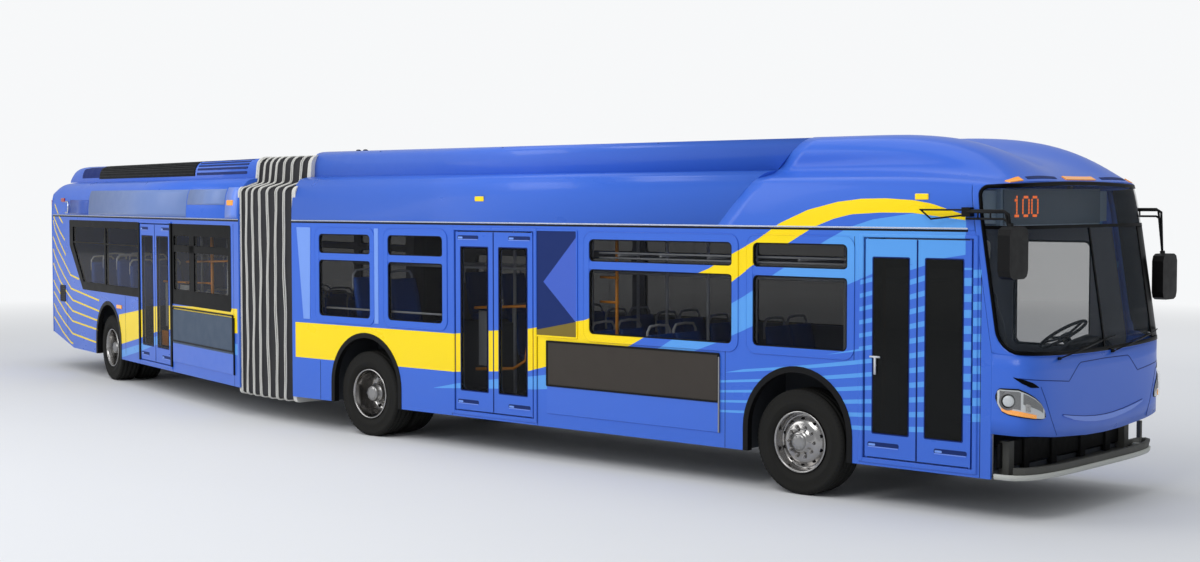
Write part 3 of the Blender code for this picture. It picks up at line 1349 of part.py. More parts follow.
def main():
    clear_scene()
    collection(PARTS)
    collection(CUTTERS)
    bus = section("bus", (0, 0, 0), 0)
    front = section("front_section", (0, 0, 0), 0, bus)
    rear = section("rear_section", (PIVOT_X, 0, 0), PARKED_BEND, bus)
    floor_front(front)
    front_sides(front)
    front_roof(front)
    front_cap(front)
    nose(front)
    right, left = FRONT_RIGHT_WINDOWS, (*FRONT_LEFT_WINDOWS, DRIVER_WINDOW_X)
    glazing("glazing_right_rearward", right[:2], -1, front)
    glazing("glazing_right_forward", right[2:], -1, front)
    glazing("glazing_left", left, 1, front, DRIVER_WINDOW_BOTTOM_Z)
    floor_rear(rear)
    rear_sides(rear)
    rear_roof(rear)
    tail(rear)
    glazing("rear_glazing_right_long", [REAR_LONG_WINDOW_X], -1, rear)
    glazing("rear_glazing_right_short", [REAR_SHORT_WINDOW_X], -1, rear)
    glazing("rear_glazing_left", REAR_LEFT_WINDOWS, 1, rear)
    fairings(front, rear)
    engine(rear)
    running_gear(front, rear)
    doorway("front_door", FRONT_DOOR_X, front)
    doorway("middle_door", MIDDLE_DOOR_X, front)
    doorway("rear_door", REAR_DOOR_X, rear)
    side_board("side_board", FRONT_BOARD_X, 0.0, front)
    side_board("rear_side_board", REAR_BOARD_X, REAR_BOARD_DROP, rear)
    turntable(front, rear)
    bellows(front)
    start, end = 2 * SEAT_PAD, -HOUSE_HALF - SEAT_DEPTH
    seat_row("seats_right", spaced(MIDDLE_DOOR_X[1] + start, end), FLOOR_Z, -1, front)
    seat_row("seats_left", spaced(MIDDLE_AXLE_X + HOUSE_HALF + start, end), FLOOR_Z, 1, front)
    end = REAR_FRONT_X - SEAT_DEPTH
    seat_row("rear_seats_right", spaced(REAR_DOOR_X[1] + start, end), FLOOR_Z, -1, rear)
    seat_row("rear_seats_left", spaced(STEP_X + start, end), FLOOR_Z, 1, rear)
    posts = [(x, side) for x in MIDDLE_DOOR_X for side in (-1, 1)]
    handrails("handrails", (FRONT_REAR_X + OVERRUN, HOUSE_HALF), FLOOR_Z, posts, front)
    posts = [(x, side) for x in REAR_DOOR_X for side in (-1, 1)]
    handrails("rear_handrails", (STEP_X + OVERRUN, REAR_FRONT_X - OVERRUN), FLOOR_Z, posts, rear)
    driver_place(front)
    mirror("mirror_right", -1, RIGHT_MIRROR_Z, front)
    mirror("mirror_left", 1, LEFT_MIRROR_Z, front)
    undertray(front)
    centre_on_ground(bus)


main()
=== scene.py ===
"""Looks of a blue articulated city bus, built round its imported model."""

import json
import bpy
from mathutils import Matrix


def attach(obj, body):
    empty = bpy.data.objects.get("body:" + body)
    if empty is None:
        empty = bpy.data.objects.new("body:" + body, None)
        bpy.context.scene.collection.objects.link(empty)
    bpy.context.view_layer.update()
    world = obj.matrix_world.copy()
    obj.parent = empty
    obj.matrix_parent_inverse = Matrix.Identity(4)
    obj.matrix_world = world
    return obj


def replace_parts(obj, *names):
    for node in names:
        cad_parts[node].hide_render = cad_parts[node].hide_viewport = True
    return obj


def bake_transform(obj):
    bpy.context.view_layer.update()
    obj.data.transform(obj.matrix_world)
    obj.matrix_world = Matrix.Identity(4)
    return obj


bl_info = {
    "name": "Articulated City Bus",
    "version": (1, 0, 0),
    "blender": (4, 5, 0),
    "location": "View3D > Sidebar > City Bus",
    "description": "Paints and dresses an articulated low-floor city bus",
    "category": "Object",
}

from math import asin, atan2, copysign, cos, hypot, pi, radians, sin, tan

import bmesh
import bpy
import numpy as np
from bpy.props import FloatProperty, FloatVectorProperty, PointerProperty
from mathutils import Matrix, Vector

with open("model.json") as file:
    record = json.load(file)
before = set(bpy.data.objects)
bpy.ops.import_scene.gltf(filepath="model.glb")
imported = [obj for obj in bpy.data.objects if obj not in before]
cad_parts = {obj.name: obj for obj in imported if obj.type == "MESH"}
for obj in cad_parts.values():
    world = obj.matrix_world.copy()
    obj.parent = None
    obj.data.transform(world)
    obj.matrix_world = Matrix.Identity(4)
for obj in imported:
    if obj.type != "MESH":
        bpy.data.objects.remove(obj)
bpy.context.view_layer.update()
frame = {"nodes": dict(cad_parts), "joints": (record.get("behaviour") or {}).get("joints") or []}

# The same named sizes as the part's source, measured from the front axle along a straight bus
HALF = 1.295
SKIRT_Z = 0.36
RAIL_Z = 2.44
BELT_Z = 1.42
MASK_LINE = ((0.0, 0.745), (0.38, 0.742), (0.7, 0.71), (1.25, 0.675), (1.574, 0.668))
FOOT_Z, FOOT_MIDDLE_Z = 1.43, 1.383
HEAD_Z, HEAD_MIDDLE_Z = 2.825, 2.862
ROOF_EDGE = (
    (1.0, 0.0), (0.994, 0.3), (0.975, 0.58), (0.927, 0.78), (0.834, 0.89), (0.463, 0.966), (0.0, 1.0)
)
ROOF_RISE = 0.59
CORNER_X = 1.98
NOSE_DEPTH = 0.39
LEAN = 0.157
NOSE_POWER = 6
FRONT_END_X, REAR_START_X = -7.32, -8.27
PIVOT_X = (FRONT_END_X + REAR_START_X) / 2
TAIL_X, TAIL_DEPTH, TAIL_Z = -16.34, 0.26, 0.55
MIDDLE_AXLE_X, REAR_AXLE_X = -5.99, -13.5
TRACK_HALF, TWIN_SPACING = 1.1, 0.345
ROLL_HEIGHT = 0.4864
TYRE_WIDTH, RIM_RADIUS = 0.305, 0.286
ARCH_RADIUS, ARCH_Z = 0.595, 0.58
WINDOW_Z = (1.35, 2.31)
TRANSOM_Z = (2.01, 2.08)
WINDOW_ROUND = 0.05
RIGHT_WINDOWS = ((-6.81, -5.9), (-5.6, -4.7), (-2.55, -0.74), (-0.5, 0.55))
LEFT_WINDOWS = ((-6.81, -5.9), (-5.6, -4.16), (-3.98, -2.54), (-2.36, -0.92), (-0.74, 0.55))
DRIVER_WINDOW = ((0.8, 1.62), (1.28, 2.31))
REAR_LONG = (-15.36, -12.06)
REAR_SLANT = 0.62
REAR_SHORT = (-10.67, -8.56)
REAR_LEFT = ((-15.00, -13.56), (-13.38, -11.94), (-11.76, -10.32), (-10.14, -8.7))
DOORS = {"front_door": (0.73, 1.8), "middle_door": (-4.5, -3.33), "rear_door": (-12.01, -10.75)}
LEAF_Z = (0.44, 2.36)
LEAF_GLASS_Z = (0.66, 2.19)
LEAF_FRAME = 0.085
LEAF_PROUD = 0.004
FLOOR_Z = 0.42
SCREEN_TALL = 1.43
FAIRING_HALF, FAIRING_TOP, REAR_FAIRING_TOP = 0.98, 3.29, 3.24
FAIRING_SIDE = ((1, 0), (0.98, 0.58), (0.88, 0.93), (0.55, 1))
FRONT_BOARD, REAR_BOARD = (-3.13, -0.89), (-10.66, -8.46)
BOARD_Z = (0.79, 1.25)
REAR_HEAD_Z = 2.78
PANE_DEPTHS = (-0.012, -0.006)

# Where a seam stands on the side, its foot and its top
SEAMS = {
    "front": (
        (-0.82, SKIRT_Z, 1.3), (0.62, 1.28, 2.38), (-6.8, SKIRT_Z, 0.825), (-4.56, SKIRT_Z, 2.4),
        (-3.27, SKIRT_Z, 2.4), (1.88, SKIRT_Z, 2.42),
    ),
    "rear": ((-15.6, TAIL_Z, 1.3), (-12.7, 0.45, 1.3), (-10.7, SKIRT_Z, 1.22), (-8.44, SKIRT_Z, 2.4)),
}


def joint(name):
    return next(row for row in frame["joints"] if row["name"] == name)


def shift_of_bus():
    """Where the front axle's middle stands on the ground, from the left kingpin."""
    x, y, _ = joint("steering_left")["pos_m"]
    return Vector((x, y - 1.02, 0))


SHIFT = shift_of_bus()
ROLL_AXIS = joint("rear_roll_left")["axis"]
BEND = atan2(-ROLL_AXIS[0], ROLL_AXIS[1])
FRONT = Matrix.Translation(SHIFT)
PIVOT = Matrix.Translation((PIVOT_X, 0, 0))
REAR = FRONT @ PIVOT @ Matrix.Rotation(BEND, 4, "Z") @ PIVOT.inverted()
SECTIONS = {"front": (FRONT, "front_section"), "rear": (REAR, "rear_section")}


def tone(red, green, blue):
    """A screen colour from 0 to 255 as the linear colour that a shader takes."""
    out = []
    for part in (red, green, blue):
        part /= 255
        out.append(part / 12.92 if part <= 0.04045 else ((part + 0.055) / 1.055) ** 2.4)
    return (*out, 1.0)


def circle(count, turn=0.0):
    """Cosines and sines of equal steps round a circle."""
    return [(cos(2 * pi * k / count + turn), sin(2 * pi * k / count + turn)) for k in range(count)]


def squared_circle(count, across_power, up_power):
    """The same, pressed out towards a square by powers under 1."""
    return [(copysign(abs(c) ** across_power, c), copysign(abs(s) ** up_power, s)) for c, s in circle(count)]


def colour(name, description, default):
    limits = {"min": 0, "max": 1}
    return FloatVectorProperty(
        name=name, description=description, subtype="COLOR", size=4, default=default, **limits
    )


def length(name, description, default):
    return FloatProperty(name=name, description=description, default=default, unit="LENGTH")


class BusColours(bpy.types.PropertyGroup):
    """The paint and trim colours of the bus."""

    body: colour("Body", "Main blue of the body", tone(57, 106, 212))
    light: colour("Light stripe", "Light blue of the stripes", tone(88, 160, 236))
    band: colour("Band", "Yellow of the band and the lines", tone(255, 222, 0))
    seats: colour("Seats", "Blue of the seat shells", tone(18, 82, 178))
    bellows: colour("Bellows", "Dark grey of the bellows cloth", tone(52, 52, 56))
    hem: colour("Bellows hems", "Pale grey of the hems on the folds", tone(206, 205, 198))
    rails: colour("Door rails", "Orange of the rails by the doors", tone(255, 160, 24))


class BusSizes(bpy.types.PropertyGroup):
    """Sizes of the trim that a user may change."""

    gasket: length("Gasket", "Width of the rubber round a window", 0.011)
    bead: length("Rail bead", "Height of the bright bead along the rail", 0.014)
    pin_line: length("Pin line", "Width of the thin yellow lines at the tail", 0.026)
    bar: length("Grab bar", "Radius of the grab bars", 0.0165)


def look():
    return bpy.context.scene.bus_colours


def trim():
    return bpy.context.scene.bus_sizes


class Sum:
    """A number in a node tree, so that a mask or a mix is written as a plain sum."""

    def __init__(self, tree, socket):
        self.tree = tree
        self.socket = socket

    def step(self, operation, *others):
        node = self.tree.nodes.new("ShaderNodeMath")
        node.operation = operation
        self.tree.links.new(self.socket, node.inputs[0])
        for place, value in enumerate(others, 1):
            if isinstance(value, Sum):
                self.tree.links.new(value.socket, node.inputs[place])
            else:
                node.inputs[place].default_value = value
        return Sum(self.tree, node.outputs[0])

    def __add__(self, other):
        return self.step("ADD", other)

    def __sub__(self, other):
        return self.step("SUBTRACT", other)

    def __mul__(self, other):
        return self.step("MULTIPLY", other)

    def __gt__(self, other):
        return self.step("GREATER_THAN", other)

    def __lt__(self, other):
        return self.step("LESS_THAN", other)

    def between(self, low, high):
        return (self > low) * (self < high)

    def either(self, other):
        return self.step("MAXIMUM", other)

    def part(self):
        return self.step("FRACT")

    def along(self, points):
        """The height of a line through these points at this place."""
        (x0, x1), zs = (points[0][0], points[-1][0]), [z for _, z in points]
        low, high = min(zs), max(zs)
        node = self.tree.nodes.new("ShaderNodeFloatCurve")
        curve = node.mapping.curves[0]
        spots = [((x - x0) / (x1 - x0), (z - low) / (high - low)) for x, z in points]
        curve.points[0].location, curve.points[1].location = spots[0], spots[-1]
        for spot in spots[1:-1]:
            curve.points.new(*spot)
        for point in curve.points:
            point.handle_type = "VECTOR"
        node.mapping.update()
        self.tree.links.new(((self - x0) * (1 / (x1 - x0))).socket, node.inputs["Value"])
        return Sum(self.tree, node.outputs[0]) * (high - low) + low


class Finish:
    """A material and the nodes that its parts share."""

    def __init__(self, name, base, roughness, metallic=0.0, coat=0.0, alpha=1.0, gloss=0.35):
        self.material = bpy.data.materials.new(name)
        self.material.use_nodes = True
        self.tree = self.material.node_tree
        self.shader = self.tree.nodes["Principled BSDF"]
        self.shader.inputs["Base Color"].default_value = base
        self.shader.inputs["Roughness"].default_value = roughness
        self.shader.inputs["Metallic"].default_value = metallic
        self.shader.inputs["Coat Weight"].default_value = coat
        self.shader.inputs["Coat Roughness"].default_value = 0.06
        self.shader.inputs["Alpha"].default_value = alpha
        self.shader.inputs["Specular IOR Level"].default_value = gloss
        self.base = base

    def places(self, section="front"):
        """Places along a straight bus, x, y and z."""
        coords = self.tree.nodes.new("ShaderNodeTexCoord")
        turn = self.tree.nodes.new("ShaderNodeMapping")
        turn.vector_type = "TEXTURE"
        matrix = SECTIONS[section][0] @ PIVOT
        turn.inputs["Location"].default_value = matrix.translation
        turn.inputs["Rotation"].default_value = matrix.to_euler()
        self.tree.links.new(coords.outputs["Object"], turn.inputs["Vector"])
        split = self.tree.nodes.new("ShaderNodeSeparateXYZ")
        self.tree.links.new(turn.outputs[0], split.inputs[0])
        x, y, z = (Sum(self.tree, socket) for socket in split.outputs)
        return x + PIVOT_X, y, z

    def noise(self, scale, detail=3.0, stretch=(1, 1, 1)):
        coords = self.tree.nodes.new("ShaderNodeTexCoord")
        sized = self.tree.nodes.new("ShaderNodeMapping")
        sized.inputs["Scale"].default_value = stretch
        node = self.tree.nodes.new("ShaderNodeTexNoise")
        node.inputs["Scale"].default_value = scale
        node.inputs["Detail"].default_value = detail
        self.tree.links.new(coords.outputs["Object"], sized.inputs[0])
        self.tree.links.new(sized.outputs[0], node.inputs["Vector"])
        return Sum(self.tree, node.outputs[0])

    def colour_by(self, mask, other, base=None):
        """Mixes the other colour over the base where the mask says so, and returns the mixed socket."""
        node = self.tree.nodes.new("ShaderNodeMix")
        node.data_type = "RGBA"
        self.tree.links.new(mask.socket, node.inputs["Factor"])
        for socket, value in (
            (node.inputs["A"], self.base if base is None else base), (node.inputs["B"], other)
        ):
            if isinstance(value, bpy.types.NodeSocket):
                self.tree.links.new(value, socket)
            else:
                socket.default_value = value
        result = node.outputs["Result"]
        self.tree.links.new(result, self.shader.inputs["Base Color"])
        self.base = result
        return result

    def rough_by(self, mask, low, high):
        self.tree.links.new((mask * (high - low) + low).socket, self.shader.inputs["Roughness"])

    def bump(self, height, distance, strength=0.5):
        node = self.tree.nodes.new("ShaderNodeBump")
        node.inputs["Distance"].default_value = distance
        node.inputs["Strength"].default_value = strength
        self.tree.links.new(height.socket, node.inputs["Height"])
        self.tree.links.new(node.outputs[0], self.shader.inputs["Normal"])


YELLOW_TOP = (
    (-7.3, 1.253), (-4.53, 1.253), (-3.97, 1.312), (-3.4, 1.362), (-2.6, 1.49), (-1.02, 2.05), (-0.73, 2.2),
    (-0.43, 2.345), (-0.2, 2.4875), (0.11, 2.612), (0.425, 2.684), (0.675, 2.712), (0.925, 2.716),
    (1.206, 2.7), (1.394, 2.669), (1.73, 2.57),
)
YELLOW_FOOT = (
    (-7.3, 0.8375), (-4.53, 0.8375), (-3.4, 0.92), (-2.0, 1.265), (-1.84, 1.345), (-0.73, 1.94),
    (-0.51, 2.09), (-0.04, 2.3375), (0.175, 2.456), (0.394, 2.534), (0.581, 2.575), (0.894, 2.592),
    (1.206, 2.59), (1.55, 2.55), (1.73, 2.53),
)
LIGHT_TOP = (
    (-4.85, 0.642), (-4.45, 0.72), (-3.9, 0.8), (-3.3, 0.875), (-2.6, 0.98), (-1.62, 1.265), (-1.48, 1.345),
    (-0.73, 1.7375), (-0.52, 1.847), (-0.247, 2.025), (0.315, 2.3375), (0.55, 2.456), (0.8, 2.53),
    (1.2, 2.585), (1.73, 2.55),
)
LIGHT_FOOT = (
    (-4.85, 0.638), (-4.45, 0.665), (-3.9, 0.7), (-3.3, 0.735), (-2.6, 0.8), (-1.17, 1.265), (-0.94, 1.345),
    (-0.52, 1.52), (0.566, 1.956), (0.8, 2.05), (1.175, 2.14), (1.36, 2.18), (1.73, 2.24),
)
REAR_YELLOW_TOP = ((-13.1, 1.0), (-12.04, 1.13), (-11.36, 1.22), (-10.78, 1.26), (-8.33, 1.342))
REAR_YELLOW_FOOT = ((-13.1, 0.55), (-12.04, 0.73), (-11.36, 0.86), (-10.7, 0.94), (-8.33, 1.034))
REAR_LIGHT_TOP = ((-13.1, 0.46), (-12.04, 0.644), (-11.36, 0.8), (-10.7, 0.84), (-8.33, 0.9))
REAR_LIGHT_FOOT = ((-13.1, 0.35), (-12.04, 0.541), (-11.36, 0.68), (-10.7, 0.71), (-8.33, 0.76))


def shade(base, share, lift=0.0, most=2.0):
    """The colour at a share of its strength, with a little added to it."""
    return tuple(min(most, part * share + lift) for part in base[:3]) + (1.0,)


def paint_finish(name, section, lined=False):
    """Gloss body paint with its stripes and road film near the skirt. A lined wall is grey on the inside."""
    made = Finish(name, tuple(look().body), 0.3, coat=0.14, gloss=0.25)
    x, y, z = made.places(section)
    sides = y.step("ABSOLUTE") > HALF - 0.085
    if section == "front":
        light = z.between(x.along(LIGHT_FOOT), x.along(LIGHT_TOP)) * x.between(-4.85, 1.73)
        slope = (x - 0.7) * (z - 0.35) * 0.16
        lines = ((z - slope - 0.665) * (1 / 0.1175)).part() < (x * 0.06 + 0.28)
        above = z < x.along(((-0.9, 1.06), (0.68, 1.385), (0.69, 2.1), (1.42, 2.2)))
        stripes = lines * above * x.between(-0.9, 1.42) * (z > 0.645)
        rise = (z - x * 0.05) * (1 / 0.135)
        left = (rise.part() < 0.5) * x.between(1.705, 1.795)
        right = ((rise + 0.5).part() < 0.5) * x.between(1.795, 1.885)
        squares = left.either(right) * z.between(0.83, 2.13)
        light = light.either(stripes).either(squares)
        yellow = z.between(x.along(YELLOW_FOOT), x.along(YELLOW_TOP)) * x.between(-7.26, 1.722)
    else:
        light = z.between(x.along(REAR_LIGHT_FOOT), x.along(REAR_LIGHT_TOP)) * x.between(-13.0, -8.33)
        yellow = z.between(x.along(REAR_YELLOW_FOOT), x.along(REAR_YELLOW_TOP)) * x.between(-13.0, -8.33)
    made.colour_by(light * sides, tuple(look().light))
    made.colour_by(yellow * sides, tuple(look().band))
    film = made.noise(1.7, 5.0, (1, 1, 2.2))
    low = (z * -1.4 + 1.55).step("MAXIMUM", 0.0).step("MINIMUM", 1.0)
    made.colour_by(film * low * 0.1, tone(96, 98, 104))
    if lined:
        made.colour_by(y.step("ABSOLUTE") < HALF - 0.03, tone(128, 131, 136))
    made.rough_by(film, 0.2, 0.42)
    made.bump(made.noise(40, 1.0), 0.0003, 0.12)
    return made.material


def plain_paint(name, base, roughness=0.32, coat=0.2, gloss=0.35):
    made = Finish(name, base, roughness, coat=coat, gloss=gloss)
    grain = made.noise(6.0, 4.0)
    made.rough_by(grain, roughness * 0.75, roughness * 1.3)
    made.colour_by(grain * 0.12, shade(base, 0.75))
    return made.material


def rubber_finish(name, base, roughness=0.62):
    made = Finish(name, base, roughness, gloss=0.15)
    grain = made.noise(90, 4.0)
    made.colour_by(grain * 0.25, shade(base, 2.2, 0.002))
    made.rough_by(made.noise(14, 3.0), roughness - 0.12, roughness + 0.15)
    made.bump(grain, 0.0012, 0.35)
    return made.material


def metal_finish(name, base, roughness=0.22, streak=(1, 1, 18)):
    made = Finish(name, base, roughness, metallic=1.0)
    marks = made.noise(22, 5.0, streak)
    made.rough_by(marks, roughness * 0.6, roughness * 1.7)
    made.colour_by(made.noise(7.0, 4.0) * 0.35, shade(base, 0.55))
    made.bump(marks, 0.0005, 0.2)
    return made.material


def glass_finish(name, base, alpha):
    made = Finish(name, base, 0.045, alpha=alpha, gloss=0.16)
    smear = made.noise(2.3, 4.0)
    made.rough_by(smear, 0.02, 0.09)
    made.colour_by(smear * 0.25, shade(base, 2, 0.004))
    return made.material


def tyre_finish(name):
    made = Finish(name, tone(26, 26, 25), 0.8, gloss=0.12)
    grain = made.noise(60, 5.0)
    dust = made.noise(4.0, 5.0)
    made.colour_by(grain * 0.3, tone(40, 40, 38))
    made.colour_by(dust * 0.2, tone(66, 64, 60))
    made.rough_by(dust, 0.62, 0.92)
    made.bump(grain, 0.0015, 0.4)
    return made.material


def cloth_finish(name, base):
    made = Finish(name, base, 0.85)
    made.shader.inputs["Sheen Weight"].default_value = 0.25
    threads = made.noise(420, 2.0)
    wear = made.noise(3.0, 5.0)
    made.colour_by(threads * 0.3, shade(base, 1.9, 0.01, 1.0))
    made.colour_by(wear * 0.25, tone(92, 90, 88))
    made.bump(threads, 0.0009, 0.45)
    return made.material


def lamp_finish(name, base, strength=0.0):
    made = Finish(name, base, 0.12, coat=0.6)
    ribs = made.noise(70, 1.0)
    made.bump(ribs, 0.0012, 0.25)
    made.colour_by(ribs * 0.2, shade(base, 0.6))
    if strength:
        made.shader.inputs["Emission Color"].default_value = base
        made.shader.inputs["Emission Strength"].default_value = strength
    return made.material


# Screen colour of each finish, then its roughness, coat and gloss where they aren't the usual ones
PAINTS = {
    "frit": ((6, 6, 7), 0.3, 0.0, 0.04),
    "pole": ((206, 209, 214), 0.35, 0.1),
    "panel": ((142, 146, 150), 0.6, 0.0),
    "pale_panel": ((196, 198, 196), 0.6, 0.0),
    "covering": ((70, 74, 80), 0.7, 0.0),
    "board": ((60, 55, 50), 0.55, 0.0, 0.2),
    "rear_board": ((72, 86, 104), 0.55, 0.0, 0.2),
    # Painted light: the lighter wedge in the niche panel's painted shade
    "niche": ((56, 92, 196), 0.4, 0.1),
    "navy_tint": ((62, 92, 176), 0.4, 0.1),
    # Painted highlight: pale strips on pillars and the bright end of each door slot
    "pillar": ((116, 156, 236), 0.35, 0.1),
    # Painted shade: dark blue for the inside of recesses, door slots and grille openings
    "navy": ((26, 46, 104), 0.5, 0.0, 0.12),
    # Painted shade: the yellow band darkened at the foot of the niche
    "gold": ((122, 104, 30), 0.5, 0.0),
    # Painted reflection: the sky's pale sheen on the rear section's upper panels
    "pale_blue": ((110, 135, 190), 0.4, 0.1),
    "sign": ((84, 102, 118), 0.4, 0.0),
    "sign_case": ((150, 172, 190), 0.5, 0.0),
    "seam": ((24, 44, 110), 0.5, 0.0, 0.1),
    # Painted highlight: the lit lower edge of the door slots, the smile on the mask and a strip high on the
    # rear section
    "lip": ((104, 140, 232),),
    # Painted shade: the undertray below the pale bumper lip
    "tray_top": ((84, 84, 80), 0.6, 0.0, 0.2),
    "tray": ((186, 188, 182), 0.5, 0.0),
}
RUBBERS = {
    "rubber": ((14, 14, 15),),
    "black": ((13, 13, 14), 0.42),
    "chassis": ((17, 17, 17), 0.66),
    "engine": ((78, 80, 82), 0.6),
}
METALS = {
    "chrome": ((168, 166, 164), 0.17, (1, 1, 1)),
    "steel": ((158, 157, 156), 0.3),
    "bright": ((214, 220, 232), 0.2),
    "reflector": ((120, 120, 120), 0.3),
}

# Screen colour and how much of the light each glass stops
GLASSES = {
    "dark_glass": ((8, 9, 11), 0.3),
    # Painted shade: the same dark glass, made nearly opaque for the shade seen through the far windows
    "far_glass": ((8, 9, 11), 0.72),
    "clear_glass": ((46, 54, 62), 0.2),
    "door_glass": ((6, 8, 8), 0.86),
    "cover": ((210, 214, 216), 0.06),
}

# Screen colour and glow
LAMPS = {
    "lens": ((208, 212, 214),),
    "amber": ((250, 158, 22), 0.25),
    "marker": ((252, 214, 20), 0.2),
    "red": ((176, 22, 18),),
    "lit": ((255, 120, 40), 0.9),
}
TABLES = (
    (plain_paint, PAINTS), (rubber_finish, RUBBERS), (metal_finish, METALS), (glass_finish, GLASSES),
    (lamp_finish, LAMPS),
)
MADE = {}


def finishes():
    """Every finish of the bus, made once."""
    if MADE:
        return MADE
    colours = look()
    for section in ("front", "rear"):
        MADE[section + "_wall"] = paint_finish(section + "_wall", section, True)
        MADE[section + "_paint"] = paint_finish(section + "_paint", section)
    for maker, table in TABLES:
        for name, (screen, *values) in table.items():
            MADE[name] = maker(name, tone(*screen), *values)
    for name, base, *values in (
        ("roof_paint", colours.body, 0.4, 0.3),
        ("plain_blue", colours.body),
        ("tail_yellow", colours.band, 0.4, 0.2),
        ("seat", colours.seats, 0.42, 0.15),
        ("door_rail", colours.rails, 0.4, 0.2),
    ):
        MADE[name] = plain_paint(name, tuple(base), *values)
    for name, base in (("fold", colours.bellows), ("hem", colours.hem), ("pad", tone(40, 44, 54))):
        MADE[name] = cloth_finish(name, tuple(base))
    MADE["tyre"] = tyre_finish("tyre")
    return MADE


def rounded(points, radius, steps=4):
    """The outline with each corner turned into an arc. The radius is one for all or one for each."""
    out = []
    count = len(points)
    radii = radius if isinstance(radius, (list, tuple)) else [radius] * count
    for i, here in enumerate(points):
        radius = radii[i]
        here = Vector(here)
        before = (Vector(points[i - 1]) - here).normalized()
        after = (Vector(points[(i + 1) % count]) - here).normalized()
        half = before.angle(after) / 2
        centre = here + (before + after).normalized() * radius / sin(half)
        first = here + before * (radius / tan(half)) - centre
        last = here + after * (radius / tan(half)) - centre
        for k in range(steps + 1):
            out.append(tuple(centre + first.lerp(last, k / steps).normalized() * radius))
    return out


def rectangle(xs, zs, grow=0.0):
    x0, x1, z0, z1 = xs[0] - grow, xs[1] + grow, zs[0] - grow, zs[1] + grow
    return [(x0, z0), (x1, z0), (x1, z1), (x0, z1)]


